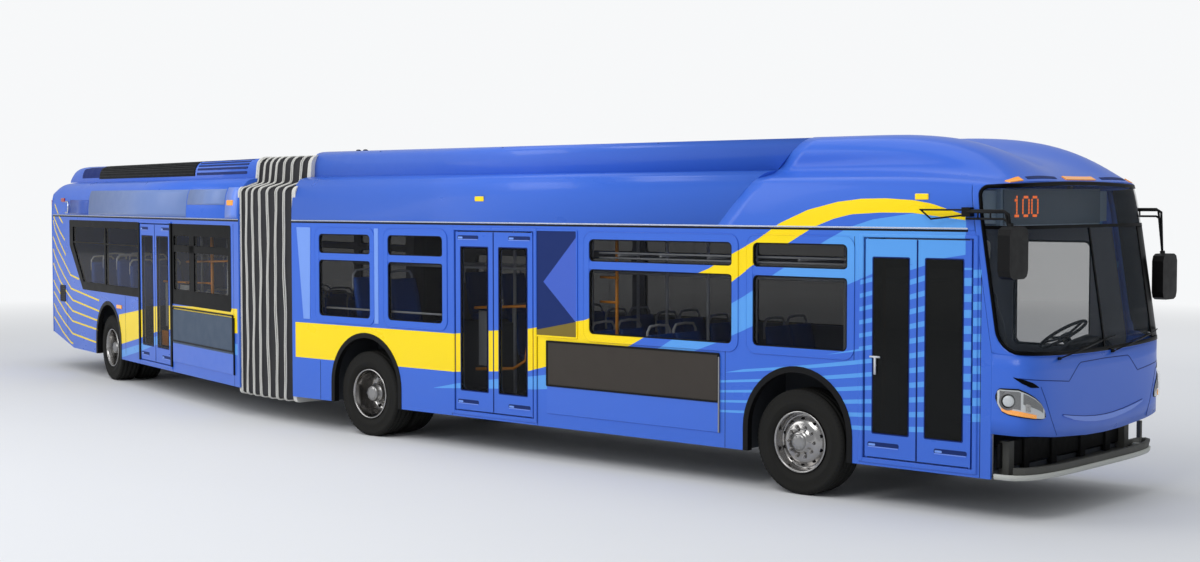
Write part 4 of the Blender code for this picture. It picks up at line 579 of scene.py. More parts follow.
class Shape:
    """Collects the closed bits of one piece, each with its finish."""

    def __init__(self):
        self.points, self.faces, self.finish, self.soft, self.used = [], [], [], [], []

    def number(self, finish):
        if finish not in self.used:
            self.used.append(finish)
        return self.used.index(finish)

    def add(self, points, faces, finish, soft=False, start=None):
        number = self.number(finish)
        start = len(self.points) if start is None else start
        self.points += [tuple(point) for point in points]
        for face in faces:
            self.faces.append([start + i for i in face])
            self.finish.append(number)
            self.soft.append(soft)

    def rings(self, rings, finish, closed=False, capped=True, soft=True):
        """Skins over rings of equal counts."""
        count, rows = len(rings[0]), len(rings)
        faces = []
        for r in range(rows if closed else rows - 1):
            for k in range(count):
                m, n = (k + 1) % count, (r + 1) % rows
                faces.append((r * count + k, r * count + m, n * count + m, n * count + k))
        self.add([point for ring in rings for point in ring], faces, finish, soft)
        if capped and not closed:
            start = len(self.points) - rows * count
            number = self.number(finish)
            for ends in (range(count), range((rows - 1) * count, rows * count)):
                self.faces.append([start + i for i in ends])
                self.finish.append(number)
                self.soft.append(False)

    def shell(self, outer, inner, finish):
        """A closed skin between two grids of points."""
        rows, count, start = len(outer), len(outer[0]), len(self.points)
        half = rows * count
        faces = []
        for r in range(rows - 1):
            for k in range(count - 1):
                a = r * count + k
                faces.append((a, a + 1, a + count + 1, a + count))
                faces.append((half + a, half + a + count, half + a + count + 1, half + a + 1))
        self.add([point for grid in (outer, inner) for row in grid for point in row], faces, finish, True)
        edge = list(range(count)) + [r * count + count - 1 for r in range(1, rows)]
        edge += [half - 1 - k for k in range(1, count)] + [r * count for r in range(rows - 2, 0, -1)]
        self.add(
            [], [(a, b, half + b, half + a) for a, b in zip(edge, edge[1:] + edge[:1])], finish, start=start
        )

    def slab(self, outline, ys, finish, edge=0.0):
        """A plate with its outline in x and z, between two depths, with an optional outer chamfer."""
        rings = [[(x, y, z) for x, z in outline] for y in ys]
        if edge:
            middle = Vector((sum(p[0] for p in outline), sum(p[1] for p in outline))) / len(outline)
            shrunk = []
            for point in outline:
                arm = Vector(point) - middle
                shrunk.append(middle + Vector([part - copysign(min(edge, abs(part)), part) for part in arm]))
            rings[1] = [(x, ys[1] - copysign(edge, ys[1] - ys[0]), z) for x, z in outline]
            rings.append([(p.x, ys[1], p.y) for p in shrunk])
        self.rings(rings, finish, soft=False)

    def plate(self, xs, zs, depths, finish, edge=0.0, side=-1, grow=0.0, radius=0.0):
        """A rectangle on the side of the bus, between two depths out of it."""
        outline = rectangle(xs, zs, grow)
        self.slab(rounded(outline, radius) if radius else outline, faces(side, *depths), finish, edge)

    def frame(self, outer, inner, ys, finish):
        """A flat frame with a hole. Both outlines have the same count."""
        loops = [[(x, ys[0], z) for x, z in outer], [(x, ys[1], z) for x, z in outer]]
        loops += [[(x, ys[1], z) for x, z in inner], [(x, ys[0], z) for x, z in inner]]
        self.rings(loops, finish, closed=True, soft=False)

    def rim(self, xs, zs, outer, inner, depths, finish, side=-1):
        """A frame on the side of the bus. Each outline is how far it grows and its corner radius."""
        loops = [rounded(rectangle(xs, zs, grow), radius) for grow, radius in (outer, inner)]
        self.frame(*loops, faces(side, *depths), finish)

    def box(self, xs, ys, zs, finish, edge=0.004):
        """A box with chamfered edges."""
        (x0, x1), (y0, y1), (z0, z1) = sorted(xs), sorted(ys), sorted(zs)
        edge = min(edge, (x1 - x0) / 3, (y1 - y0) / 3, (z1 - z0) / 3)
        rings = []
        for y, inset in ((y0, edge), (y0 + edge, 0), (y1 - edge, 0), (y1, edge)):
            a, b, c, d = x0 + inset, x1 - inset, z0 + inset, z1 - inset
            ring = [(a + edge, y, c), (b - edge, y, c), (b, y, c + edge), (b, y, d - edge)]
            ring += [(b - edge, y, d), (a + edge, y, d), (a, y, d - edge), (a, y, c + edge)]
            rings.append(ring)
        self.rings(rings, finish, soft=False)

    def tube(self, path, radius, finish, sides=8, closed=False):
        """A bent tube along a path."""
        path = [Vector(point) for point in path]
        count = len(path)
        rings, normal = [], None
        for i, here in enumerate(path):
            after = path[(i + 1) % count] if closed or i < count - 1 else here + (here - path[i - 1])
            before = path[i - 1] if closed or i else here - (after - here)
            along = ((after - here).normalized() + (here - before).normalized()).normalized()
            if normal is None:
                normal = along.orthogonal().normalized()
            normal = (normal - along * normal.dot(along)).normalized()
            across = along.cross(normal)
            rings.append([here + radius * (c * normal + s * across) for c, s in circle(sides)])
        self.rings(rings, finish, closed=closed)

    def lathe(self, profile, place, side, finish, steps=48, turn=0.0):
        """Turns a profile of radius and outward distance about an axle through the place."""
        x, y, z = place
        rings = []
        for radius, out in profile:
            rings.append([(x + radius * c, y + side * out, z + radius * s) for c, s in circle(steps, turn)])
        self.rings(rings, finish)

    def make(self, name, section="front", body=None, slot=None):
        """The finished object, in its place and riding on its body. body False leaves it without a parent."""
        matrix, home = SECTIONS[section]
        mesh = bpy.data.meshes.new(name)
        mesh.from_pydata(self.points, [], self.faces)
        for finish in self.used:
            mesh.materials.append(finishes()[finish])
        mesh.polygons.foreach_set("material_index", self.finish)
        mesh.polygons.foreach_set("use_smooth", self.soft)
        work = bmesh.new()
        work.from_mesh(mesh)
        bmesh.ops.recalc_face_normals(work, faces=work.faces)
        work.transform(matrix)
        work.to_mesh(mesh)
        work.free()
        obj = bpy.data.objects.new(name, mesh)
        bpy.context.scene.collection.objects.link(obj)
        if body is not False:
            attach(obj, body or home)
        return obj


def face(side, proud=0.0):
    """A depth on or out of the body's side."""
    return side * (HALF + proud)


def faces(side, *depths):
    return [face(side, depth) for depth in depths]


def bent(points, fine=8):
    """A smooth curve through the points, with this many steps between each two."""
    out, last = [], len(points) - 1
    for k in range(last):
        a, b, c, d = (Vector(points[min(max(k + shift, 0), last)]) for shift in (-1, 0, 1, 2))
        slope, swell, twist = c - a, 2 * a - 5 * b + 4 * c - d, 3 * b - a - 3 * c + d
        for j in range(fine):
            t = j / fine
            out.append(tuple(0.5 * (2 * b + slope * t + swell * t * t + twist * t**3)))
    return out + [tuple(points[-1])]


ROOF_CURVE = [(HALF * across, RAIL_Z + ROOF_RISE * up) for across, up in bent(ROOF_EDGE)]


def half_width(z):
    """Half of the body's width: full up to the rail, then in with the roof's edge."""
    ys, zs = zip(*ROOF_CURVE)
    return float(np.interp(z, zs, ys))


def roof_height(y, inset=0.0):
    ys, zs = zip(*ROOF_CURVE[::-1])
    return float(np.interp(abs(y) + inset, ys, zs)) - inset


def pillar_x(z):
    return CORNER_X - LEAN * max(z - BELT_Z, 0)


def plan_curve(power, depth):
    """An end of the bus in plan: length from the right corner, share of half width, share of depth."""
    rows = []
    for k in range(601):
        turn = -pi / 2 + pi * k / 600
        rows.append((copysign(abs(sin(turn)) ** (2 / power), turn), abs(cos(turn)) ** (2 / power)))
    rows = np.array(rows)
    lengths = np.hypot(np.diff(rows[:, 0]) * HALF, np.diff(rows[:, 1]) * depth)
    return np.concatenate(([0], np.cumsum(lengths))), rows[:, 0], rows[:, 1]


NOSE_PLAN = plan_curve(NOSE_POWER, NOSE_DEPTH)
NOSE_LENGTH = float(NOSE_PLAN[0][-1])


def nose_point(along, z, proud=0.0):
    """A point on the nose or a little out of it, by its way round from the right corner."""
    lengths, across, forward = NOSE_PLAN
    side, ahead = float(np.interp(along, lengths, across)), float(np.interp(along, lengths, forward))
    return Vector((pillar_x(z) + (NOSE_DEPTH + proud) * ahead, (half_width(z) + proud) * side, z))


def nose_z(along, corner_z, middle_z):
    return corner_z + (middle_z - corner_z) * sin(pi * along / NOSE_LENGTH)


def foot_z(along):
    return nose_z(along, FOOT_Z, FOOT_MIDDLE_Z)


def head_z(along):
    return nose_z(along, HEAD_Z, HEAD_MIDDLE_Z)


def mask_z(along):
    return float(np.interp(min(along, NOSE_LENGTH - along), *zip(*MASK_LINE)))


def nose_ways(first=0.0, last=None, gap=0.06):
    """Places round the nose, closer together on its corners."""
    last = NOSE_LENGTH if last is None else last
    ways, along = [], first
    while along < last - 0.012:
        ways.append(along)
        edge = min(along, NOSE_LENGTH - along)
        along += gap * (0.35 if edge < 0.62 else 1.0)
    return ways + [last]


def nose_strip(shape, low_line, high_line, finish, proud, thick, first, last):
    """A skin that lies on the nose between two lines of height."""
    rings = []
    for along in nose_ways(first, last):
        spots = ((low_line, proud), (high_line, proud), (high_line, proud - thick), (low_line, proud - thick))
        rings.append([nose_point(along, line(along), out) for line, out in spots])
    shape.rings(rings, finish, soft=False)


def nose_grids(low_line, high_line, shares, depths, ways):
    """Two grids of points on the nose between two lines of height, one for each depth."""
    grids = []
    for depth in depths:
        rows = []
        for share in shares:
            rows.append([
                tuple(
                    nose_point(way, low_line(way) + (high_line(way) - low_line(way)) * share, depth)
                ) for way in ways
            ])
        grids.append(rows)
    return grids


def nose_patch(shape, lows, highs, finish, proud=0.004, thick=0.006, fine=14):
    """A skin on the nose between two lines, each through points of way and height."""
    rings = []
    for k in range(fine + 1):
        ends = []
        for line in (lows, highs):
            place = k / fine * (len(line) - 1)
            low = min(int(place), len(line) - 2)
            ends.append(Vector(line[low]).lerp(Vector(line[low + 1]), place - low))
        ring = []
        for j in range(4):
            spot = ends[0].lerp(ends[1], j / 3)
            ring.append(nose_point(spot.x, spot.y, proud))
        ring += [
            nose_point(ends[1].x, ends[1].y, proud - thick), nose_point(ends[0].x, ends[0].y, proud - thick)
        ]
        rings.append(ring)
    shape.rings(rings, finish, soft=False)


def mirrored_line(line):
    return [(NOSE_LENGTH - along, z) for along, z in line]


def dress(names, finish):
    """Gives carried-over nodes a finish."""
    for name in names:
        mesh = frame["nodes"][name].data
        mesh.materials.clear()
        mesh.materials.append(finishes()[finish])

BACKDROP = (0.93, 0.94, 0.95, 1)


def place_camera(scene):
    """The photo's viewpoint, as it was fitted."""
    turn, down, roll = radians(41.7703), radians(2.7125), radians(-0.0438)
    back = Vector((sin(turn) * cos(down), -cos(turn) * cos(down), sin(down)))
    right = Vector((cos(turn), sin(turn), 0))
    up = back.cross(right)
    right, up = right * cos(roll) + up * sin(roll), up * cos(roll) - right * sin(roll)
    data = bpy.data.cameras.new("photo view")
    data.sensor_width = 36
    data.lens = 52.162
    data.clip_end = 400
    camera = bpy.data.objects.new("photo view", data)
    matrix = Matrix((right, up, back)).transposed().to_4x4()
    matrix.translation = SHIFT + Vector((9.1878, -14.2715, 2.7148))
    camera.matrix_world = matrix
    scene.collection.objects.link(camera)
    scene.camera = camera


def studio_floor(scene):
    """A pale floor that fades into the backdrop away from the bus."""
    reach, fade_start, fade_width = 70, 13.0, 16
    floor = bpy.data.meshes.new("floor")
    corners = rectangle((-reach, reach), (-reach, reach))
    floor.from_pydata([(x, y, 0) for x, y in corners], [], [(0, 1, 2, 3)])
    ground = bpy.data.objects.new("floor", floor)
    scene.collection.objects.link(ground)
    pale = Finish("studio floor", tone(226, 227, 229), 0.9)
    pale.colour_by(pale.noise(0.8, 3.0) * 0.1, tone(214, 215, 218))
    nodes, links = pale.tree.nodes, pale.tree.links
    coords = nodes.new("ShaderNodeTexCoord")
    away = nodes.new("ShaderNodeVectorMath")
    away.operation = "DISTANCE"
    away.inputs[1].default_value = SHIFT + Vector((-6, 0, 0))
    links.new(coords.outputs["Object"], away.inputs[0])
    far = Sum(pale.tree, away.outputs["Value"])
    backdrop = nodes.new("ShaderNodeEmission")
    backdrop.inputs["Color"].default_value = BACKDROP
    fade = nodes.new("ShaderNodeMixShader")
    share = ((far - fade_start) * (1 / fade_width)).step("MAXIMUM", 0.0).step("MINIMUM", 1.0)
    links.new(share.socket, fade.inputs[0])
    links.new(pale.shader.outputs[0], fade.inputs[1])
    links.new(backdrop.outputs[0], fade.inputs[2])
    links.new(fade.outputs[0], nodes["Material Output"].inputs[0])
    floor.materials.append(pale.material)


def studio_world(scene):
    """A soft pale light from all round, and the plain backdrop that the camera sees."""
    world = bpy.data.worlds.new("studio")
    world.use_nodes = True
    nodes, links = world.node_tree.nodes, world.node_tree.links
    shade = nodes["Background"]
    path = nodes.new("ShaderNodeLightPath")
    plain = nodes.new("ShaderNodeBackground")
    plain.inputs["Color"].default_value = BACKDROP
    plain.inputs["Strength"].default_value = 1.0
    shade.inputs["Color"].default_value = (0.93, 0.96, 1.0, 1)
    shade.inputs["Strength"].default_value = 0.55
    mix = nodes.new("ShaderNodeMixShader")
    links.new(path.outputs["Is Camera Ray"], mix.inputs[0])
    links.new(shade.outputs[0], mix.inputs[1])
    links.new(plain.outputs[0], mix.inputs[2])
    links.new(mix.outputs[0], nodes["World Output"].inputs[0])
    scene.world = world


def studio_lights(scene):
    for name, place, size, power in (
        ("key", (8, -16, 15), 9, 1250),
        ("side", (-9, -15, 9), 10, 850),
        ("far", (2, 16, 12), 12, 600),
        ("top", (-1, -2, 17), 16, 900),
    ):
        lamp = bpy.data.lights.new(name, "AREA")
        lamp.size = size
        lamp.energy = power
        obj = bpy.data.objects.new(name, lamp)
        obj.visible_glossy = name != "far"
        obj.location = place
        obj.rotation_euler = (Vector((0, 0, 1.5)) - Vector(place)).to_track_quat("-Z", "Y").to_euler()
        scene.collection.objects.link(obj)


class BUS_OT_stage(bpy.types.Operator):
    """Sets the camera, the pale floor and the lights"""

    bl_idname = "bus.stage"
    bl_label = "Stage"

    def execute(self, context):
        for build in (place_camera, studio_floor, studio_world, studio_lights):
            build(context.scene)
        context.scene.view_settings.view_transform = "Standard"
        return {"FINISHED"}


class BUS_OT_body(bpy.types.Operator):
    """Paints the carried-over body panels and chassis"""

    bl_idname = "bus.body"
    bl_label = "Body paint"

    def execute(self, context):
        nodes = frame["nodes"]
        dress(["front_side_right", "front_side_left"], "front_wall")
        dress(["rear_side_right", "rear_side_left"], "rear_wall")
        dress([n for n in nodes if "leaf" in n and not n.startswith("rear")], "front_wall")
        dress([n for n in nodes if "leaf" in n and n.startswith("rear")], "rear_wall")
        dress(["front_floor", "rear_floor"], "covering")
        dress(["engine_block"], "engine")
        dress([n for n in nodes if "axle" in n or "knuckle" in n or "turntable" in n], "chassis")
        dress([n for n in nodes if "handrails" in n], "pole")
        dress(["side_board"], "board")
        dress(["rear_side_board"], "rear_board")
        # The undertray darkened as painted shade under the bumper lip
        dress(["undertray"], "tray_top")
        dress(["mirror_left", "mirror_right"], "black")
        return {"FINISHED"}


def split_x(z):
    """The leaning plane where the roof and its cover meet the crown."""
    return -0.45 + 0.9 * (z - 2.98)


def fairing_half(top_z, half=FAIRING_HALF):
    """The roof cover's section on one side, from its foot on the roof to the middle of its top."""
    foot = roof_height(half) + 0.001
    keys = [(half * across, foot + (top_z - foot) * up) for across, up in FAIRING_SIDE]
    return bent(keys, 5) + [(0.3, top_z), (0.0, top_z)]


def both_sides(half):
    """A section from right to left, from its half of y and z."""
    return [(-y, z) for y, z in half] + [(y, z) for y, z in half[-2::-1]]


CROWN_FINE = 6
CROWN_SIDE = 3


def crown_half():
    """The crown's section at the roof: side, shoulder, the cover's side, and the valley in the middle."""
    sides = [
        (half_width(z), z)
        for z in (RAIL_Z + (HEAD_Z - RAIL_Z) * k / CROWN_SIDE for k in range(CROWN_SIDE + 1))
    ]
    shoulder = HALF * ROOF_EDGE[3][0]
    foot = roof_height(FAIRING_HALF)
    over = [(shoulder, roof_height(shoulder))]
    over += [(FAIRING_HALF * across, foot + (FAIRING_TOP - foot) * up) for across, up in FAIRING_SIDE]
    return bent(sides + over + [(0.0, foot + (FAIRING_TOP - foot) * 0.62)], CROWN_FINE)


CROWN_HALF = crown_half()
CROWN_LAST = len(CROWN_HALF) - 1


def crown_point(column, share, proud=0.0):
    """A point on the crown. Columns run over it from right to left, shares from the roof to the screen."""
    side = -1 if column <= CROWN_LAST else 1
    place = min(column, 2 * CROWN_LAST - column)
    ys, zs = zip(*CROWN_HALF)
    spots = range(len(ys))
    y, z = float(np.interp(place, spots, ys)), float(np.interp(place, spots, zs))
    x = split_x(z)
    round_start = CROWN_SIDE * CROWN_FINE
    if place <= round_start:
        end_z = RAIL_Z + (HEAD_Z - RAIL_Z) * place / round_start
        end = (pillar_x(end_z), half_width(end_z), end_z)
    else:
        turn = pi / 2 * (1 - (place - round_start) / (CROWN_LAST - round_start))
        across = sin(turn) ** 0.5
        end_z = HEAD_Z + (HEAD_MIDDLE_Z - HEAD_Z) * cos(turn)
        end = (
            pillar_x(end_z) + NOSE_DEPTH * (1 - across**NOSE_POWER) ** (1 / NOSE_POWER),
            half_width(end_z) * across, end_z
        )
    fallen = share**4.5
    height = min(z + (end[2] - z) * fallen, FAIRING_TOP) + proud * 0.8
    return Vector((x + (end[0] - x) * share + proud * 0.6, side * (y + (end[1] - y) * share**2), height))


def crown_column(y):
    """The column that meets the screen's top edge this far from the middle."""
    across = min(abs(y) / half_width(HEAD_Z), 1.0)
    turn = asin(across**2)
    round_start = CROWN_SIDE * CROWN_FINE
    place = round_start + (1 - turn / (pi / 2)) * (CROWN_LAST - round_start)
    return place if y < 0 else 2 * CROWN_LAST - place


def inside(point, depth):
    """The same point on the lining of a roof."""
    x, y, z = point
    up = min(max((z - 2.5) / 0.35, 0.0), 1.0)
    return (x, y * (1 - depth / HALF), z - depth * up)


def add_skin(name, outer, inner, finish, section, node, slot="body_blue"):
    shape = Shape()
    shape.shell(outer, inner, finish)
    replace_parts(shape.make(name, section, slot=slot), node)


def front_roof_skins():
    line = both_sides(ROOF_CURVE)
    outer = [[(FRONT_END_X, y, z) for y, z in line], [(split_x(z), y, z) for y, z in line]]
    inner = [[inside(point, 0.04) for point in row] for row in outer]
    add_skin("curved_roof", outer, inner, "front_paint", "front", "front_roof")
    line = both_sides(fairing_half(FAIRING_TOP))
    outer = [[(FRONT_END_X, y, z) for y, z in line], [(split_x(z) - 0.002, y, z) for y, z in line]]
    inner = [[(x, y, roof_height(y) + 0.0006) for x, y, z in row] for row in outer]
    inner[1] = [(split_x(z) - 0.002, y, z) for _, y, z in inner[1]]
    add_skin("roof_cover", outer, inner, "roof_paint", "front", "roof_fairing")


def crown_skin():
    shares = [1 - (1 - r / 26) ** 1.7 for r in range(27)]
    outer = [[tuple(crown_point(c, share)) for c in range(2 * CROWN_LAST + 1)] for share in shares]
    inner = []
    for share, row in zip(shares, outer):
        inner.append([inside((x - 0.03 * share**4, y, z), 0.04) for x, y, z in row])
    shape = Shape()
    shape.shell(outer, inner, "front_paint")
    shape.box((1.58, 1.86), (-0.93, 0.93), (2.47, 2.8), "sign_case", 0.006)
    for y in (-0.6, 0.6):
        shape.box((1.7, 1.74), (y - 0.02, y + 0.02), (2.79, 2.95), "steel", 0.004)
    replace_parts(shape.make("crown", slot="body_blue"), "front_cap")


def nose_skins():
    ways = nose_ways()
    grids = nose_grids(mask_z, lambda a: foot_z(a) - 0.003, (0, 0.2, 0.4, 0.6, 0.8, 1), (0.0, -0.03), ways)
    add_skin("front_mask_skin", *grids, "front_paint", "front", "front_mask")
    shares = (0, 0.25, 0.5, 0.72, 0.8, 0.87, 0.94, 1)
    grids = nose_grids(foot_z, lambda a: head_z(a) - 0.004, shares, (-0.002, -0.008), ways)
    add_skin("curved_windscreen", *grids, "clear_glass", "front", "windscreen", "window_glass")


def rear_roof_skins():
    sides, overs = 12, 24
    rise = REAR_HEAD_Z - RAIL_Z
    half = [(half_width(z), z) for z in (RAIL_Z + rise * k / sides for k in range(sides))]
    keys = [half_width(REAR_HEAD_Z)] + [HALF * share for share in (0.927, 0.834, 0.65, 0.463, 0.23, 0)]
    for wide, narrow in zip(keys, keys[1:]):
        for j in range(4):
            y = wide + (narrow - wide) * j / 4
            half.append((y, roof_height(y)))
    half.append((0.0, roof_height(0)))
    start_x = TAIL_X + 0.34
    straight = (REAR_START_X, (REAR_START_X + start_x) / 2, start_x)
    outer = [[(x, y, z) for y, z in both_sides(half)] for x in straight]
    for r in range(1, 15):
        share = r / 14
        row = []
        for j, (y, z) in enumerate(half):
            if j < sides:
                end_z = RAIL_Z + rise * j / sides
                end_x, end_y = TAIL_X, half_width(end_z)
            else:
                turn = pi / 2 * (1 - (j - sides) / overs)
                across = sin(turn) ** 0.5
                end_z = REAR_HEAD_Z + 0.08 * cos(turn)
                end_x, end_y = TAIL_X - TAIL_DEPTH * (1 - across**4) ** 0.25, half_width(end_z) * across
            x = start_x + (end_x - start_x) * share
            row.append((x, -(y + (end_y - y) * share**2), z + (end_z - z) * share**2.2))
        outer.append(row + [(x, -y, z) for x, y, z in row[-2::-1]])
    inner = []
    for r, row in enumerate(outer):
        back = 0.04 * max(r - 2, 0) / 14
        inner.append([inside((x + back, y, z), 0.04) for x, y, z in row])
    add_skin("rear_curved_roof", outer, inner, "rear_paint", "rear", "rear_roof")
    foot = roof_height(FAIRING_HALF)
    fall = [(TAIL_X + 0.9, 1.0), (TAIL_X + 0.3, 1.0), (TAIL_X + 0.05, 0.8), (TAIL_X - 0.06, 0.4)]
    outer = []
    for x, share in [(REAR_START_X, 1.0)] + bent(fall, 5):
        top = foot + (REAR_FAIRING_TOP - foot) * share
        outer.append([(x, y, z) for y, z in both_sides(fairing_half(top))])
    inner = [[(x, y, roof_height(y) + 0.0006) for x, y, z in row] for row in outer]
    add_skin("rear_roof_cover", outer, inner, "roof_paint", "rear", "rear_fairing")


def rear_wall_skin():
    levels = [(z, z) for z in (TAIL_Z, 1.2, 1.8, RAIL_Z)]
    levels += [(RAIL_Z + 0.34 * k / 5, RAIL_Z + 0.42 * k / 5) for k in range(1, 6)]
    grids = []
    for depth in (0.0, -0.05):
        rows = []
        for low, high in levels:
            row = []
            for k in range(61):
                turn = -pi / 2 + pi * k / 60
                across = copysign(abs(sin(turn)) ** 0.5, turn)
                z = low + (high - low) * cos(turn)
                back = (TAIL_DEPTH + depth) * abs(cos(turn)) ** 0.5
                row.append((TAIL_X - back, (half_width(z) + depth) * across, z))
            rows.append(row)
        grids.append(rows)
    add_skin("rear_wall", *grids, "rear_paint", "rear", "rear_face")


class BUS_OT_skins(bpy.types.Operator):
    """Builds the smooth roofs, crown, mask, windscreen and rear wall"""

    bl_idname = "bus.skins"
    bl_label = "Smooth skins"

    def execute(self, context):
        front_roof_skins()
        crown_skin()
        nose_skins()
        rear_roof_skins()
        rear_wall_skin()
        return {"FINISHED"}


def window_set(shape, panes, xs, side, paint):
    """One framed window of two lights: a raised painted frame, rubber round each light and its pane."""
    rubber = trim().gasket
    shape.rim(xs, WINDOW_Z, (0.07, WINDOW_ROUND + 0.05), (-0.002, WINDOW_ROUND), (-0.002, 0.007), paint, side)
    whole = rounded(rectangle(xs, WINDOW_Z, 0.07), WINDOW_ROUND + 0.05)
    shape.tube([(x, face(side, 0.006), z) for x, z in whole], 0.004, paint, 5, closed=True)
    shape.plate((xs[0] - 0.02, xs[1] + 0.02), TRANSOM_Z, (-0.03, 0.005), paint, 0.003, side, 0.004)
    hole = (-0.003 - rubber, WINDOW_ROUND - rubber)
    # The far side's panes stop more light: painted shade for the dark seen through them
    glass = "dark_glass" if side < 0 else "far_glass"
    for zs in ((WINDOW_Z[0], TRANSOM_Z[0]), (TRANSOM_Z[1], WINDOW_Z[1])):
        shape.rim(xs, zs, (-0.003, WINDOW_ROUND), hole, (-0.03, 0.0), "rubber", side)
        panes.plate(xs, zs, PANE_DEPTHS, glass, 0.0, side, -0.005, WINDOW_ROUND)


def slanted(rear, front, zs, over, up):
    """The long rear window's outline, its slanted lower corner moved along and up by a little."""
    x, z = REAR_LONG[0] + REAR_SLANT + over, WINDOW_Z[0] + REAR_SLANT + up
    return [(x, zs[0]), (front, zs[0]), (front, zs[1]), (rear, zs[1]), (rear, z)]


def place_windows(shape, panes, section, label):
    """Makes one side's frames, and its panes, which stand in for the plain glazing."""
    rear = section == "rear"
    start = "rear_" if rear else ""
    old = [n for n in frame["nodes"] if "glazing" in n and label in n and n.startswith("rear") == rear]
    shape.make(f"{start}window_frames_{label}", section)
    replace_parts(panes.make(f"{start}window_panes_{label}", section, slot="window_glass"), *old)


def rear_windows_right():
    """The two dark windows of the rear section: a long one with a slanted corner, and a short one."""
    shape, panes = Shape(), Shape()
    rear_x, front_x = REAR_LONG
    glass = rounded(slanted(rear_x, front_x, WINDOW_Z, 0, 0), 0.045)
    edge = rounded(slanted(rear_x - 0.06, front_x + 0.035, (1.31, 2.385), -0.01, 0.01), 0.03)
    hole = rounded(slanted(rear_x + 0.12, front_x - 0.05, (1.43, 2.28), 0.03, 0.04), 0.03)
    shape.frame(edge, hole, faces(-1, -0.002, 0.004), "frit")
    shape.frame(glass, hole, faces(-1, -0.045, -0.004), "frit")
    panes.slab(glass, faces(-1, *PANE_DEPTHS), "dark_glass")
    shape.plate((-13.665, -13.585), (1.4, 2.29), (-0.045, 0.002), "frit")
    shape.plate((rear_x + 0.1, front_x - 0.04), (2.03, 2.05), (-0.03, 0.001), "frit")
    edge = rounded(rectangle(REAR_SHORT, (1.325, 2.345), 0.035), 0.04)
    hole = rounded(rectangle(REAR_SHORT, (1.43, 2.28), -0.06), 0.03)
    shape.frame(edge, hole, faces(-1, -0.045, 0.004), "frit")
    panes.plate(REAR_SHORT, WINDOW_Z, PANE_DEPTHS, "dark_glass", grow=-0.005)
    rear_x, front_x = REAR_SHORT
    shape.plate((rear_x + 0.05, front_x - 0.05), TRANSOM_Z, (-0.055, 0.002), "frit", grow=0.012)
    shape.plate((-10.02, -9.84), (1.4, 2.29), (-0.045, 0.002), "frit")
    place_windows(shape, panes, "rear", "right")


def side_windows():
    for side, windows, label in ((-1, RIGHT_WINDOWS, "right"), (1, LEFT_WINDOWS, "left")):
        shape, panes = Shape(), Shape()
        for xs in windows:
            window_set(shape, panes, xs, side, "front_paint")
        if side > 0:
            xs, zs = DRIVER_WINDOW
            shape.rim(
                xs, zs, (0.03, WINDOW_ROUND + 0.02), (-0.02, WINDOW_ROUND), (-0.04, 0.004), "rubber", side
            )
            panes.plate(xs, zs, (-0.02, -0.014), "dark_glass", 0.0, side, -0.015, WINDOW_ROUND)
        place_windows(shape, panes, "front", label)
    rear_windows_right()
    shape, panes = Shape(), Shape()
    for xs in REAR_LEFT:
        window_set(shape, panes, xs, 1, "rear_paint")
    place_windows(shape, panes, "rear", "left")


class BUS_OT_windows(bpy.types.Operator):
    """Glazes and frames every side window"""

    bl_idname = "bus.windows"
    bl_label = "Windows"

    def execute(self, context):
        side_windows()
        return {"FINISHED"}


def arch_line(x, radius, steps=24):
    """Points up, over and down a wheel arch."""
    line = [(x + radius, SKIRT_Z)]
    line += [
        (x + radius * cos(pi * k / steps), ARCH_Z + radius * sin(pi * k / steps)) for k in range(steps + 1)
    ]
    return line + [(x - radius, SKIRT_Z)]


def arch_lip(shape, x, side):
    lip, back = face(side, 0.006), face(side, -0.06)
    rings = []
    for (ax, az), (bx, bz) in zip(arch_line(x, ARCH_RADIUS + 0.012), arch_line(x, ARCH_RADIUS - 0.045)):
        ring = [(ax, face(side, -0.004), az), (ax, lip, az), (bx, lip, bz), (bx, back, bz)]
        rings.append(ring + [(bx + (ax - bx) * 0.6, back, bz + (az - bz) * 0.6)])
    shape.rings(rings, "black", soft=False)


def side_boards():
    for section, xs, past, edge in (
        ("front", FRONT_BOARD, 0.0, "steel"), ("rear", REAR_BOARD, 0.03, "black")
    ):
        shape = Shape()
        shape.rim(xs, BOARD_Z, (0.006, 0.012), (-0.012, 0.008), (0.001, 0.018), "black")
        shape.plate(xs, (0.5, BOARD_Z[0] - 0.004), (-0.002, 0.011), "plain_blue", 0.004)
        end = xs[1] + past
        shape.plate((end - 0.004, end + 0.012), (0.5, 1.22), (-0.002, 0.02), edge, 0.003)
        shape.make(section + "_board_frame", section)


def add_marker(shape, xs, zs, width, finish, edge=0.008, side=-1):
    """A small lens high on the side, where the body is this wide."""
    shape.box(xs, (side * (width - 0.004), side * (width + 0.014)), zs, finish, edge)


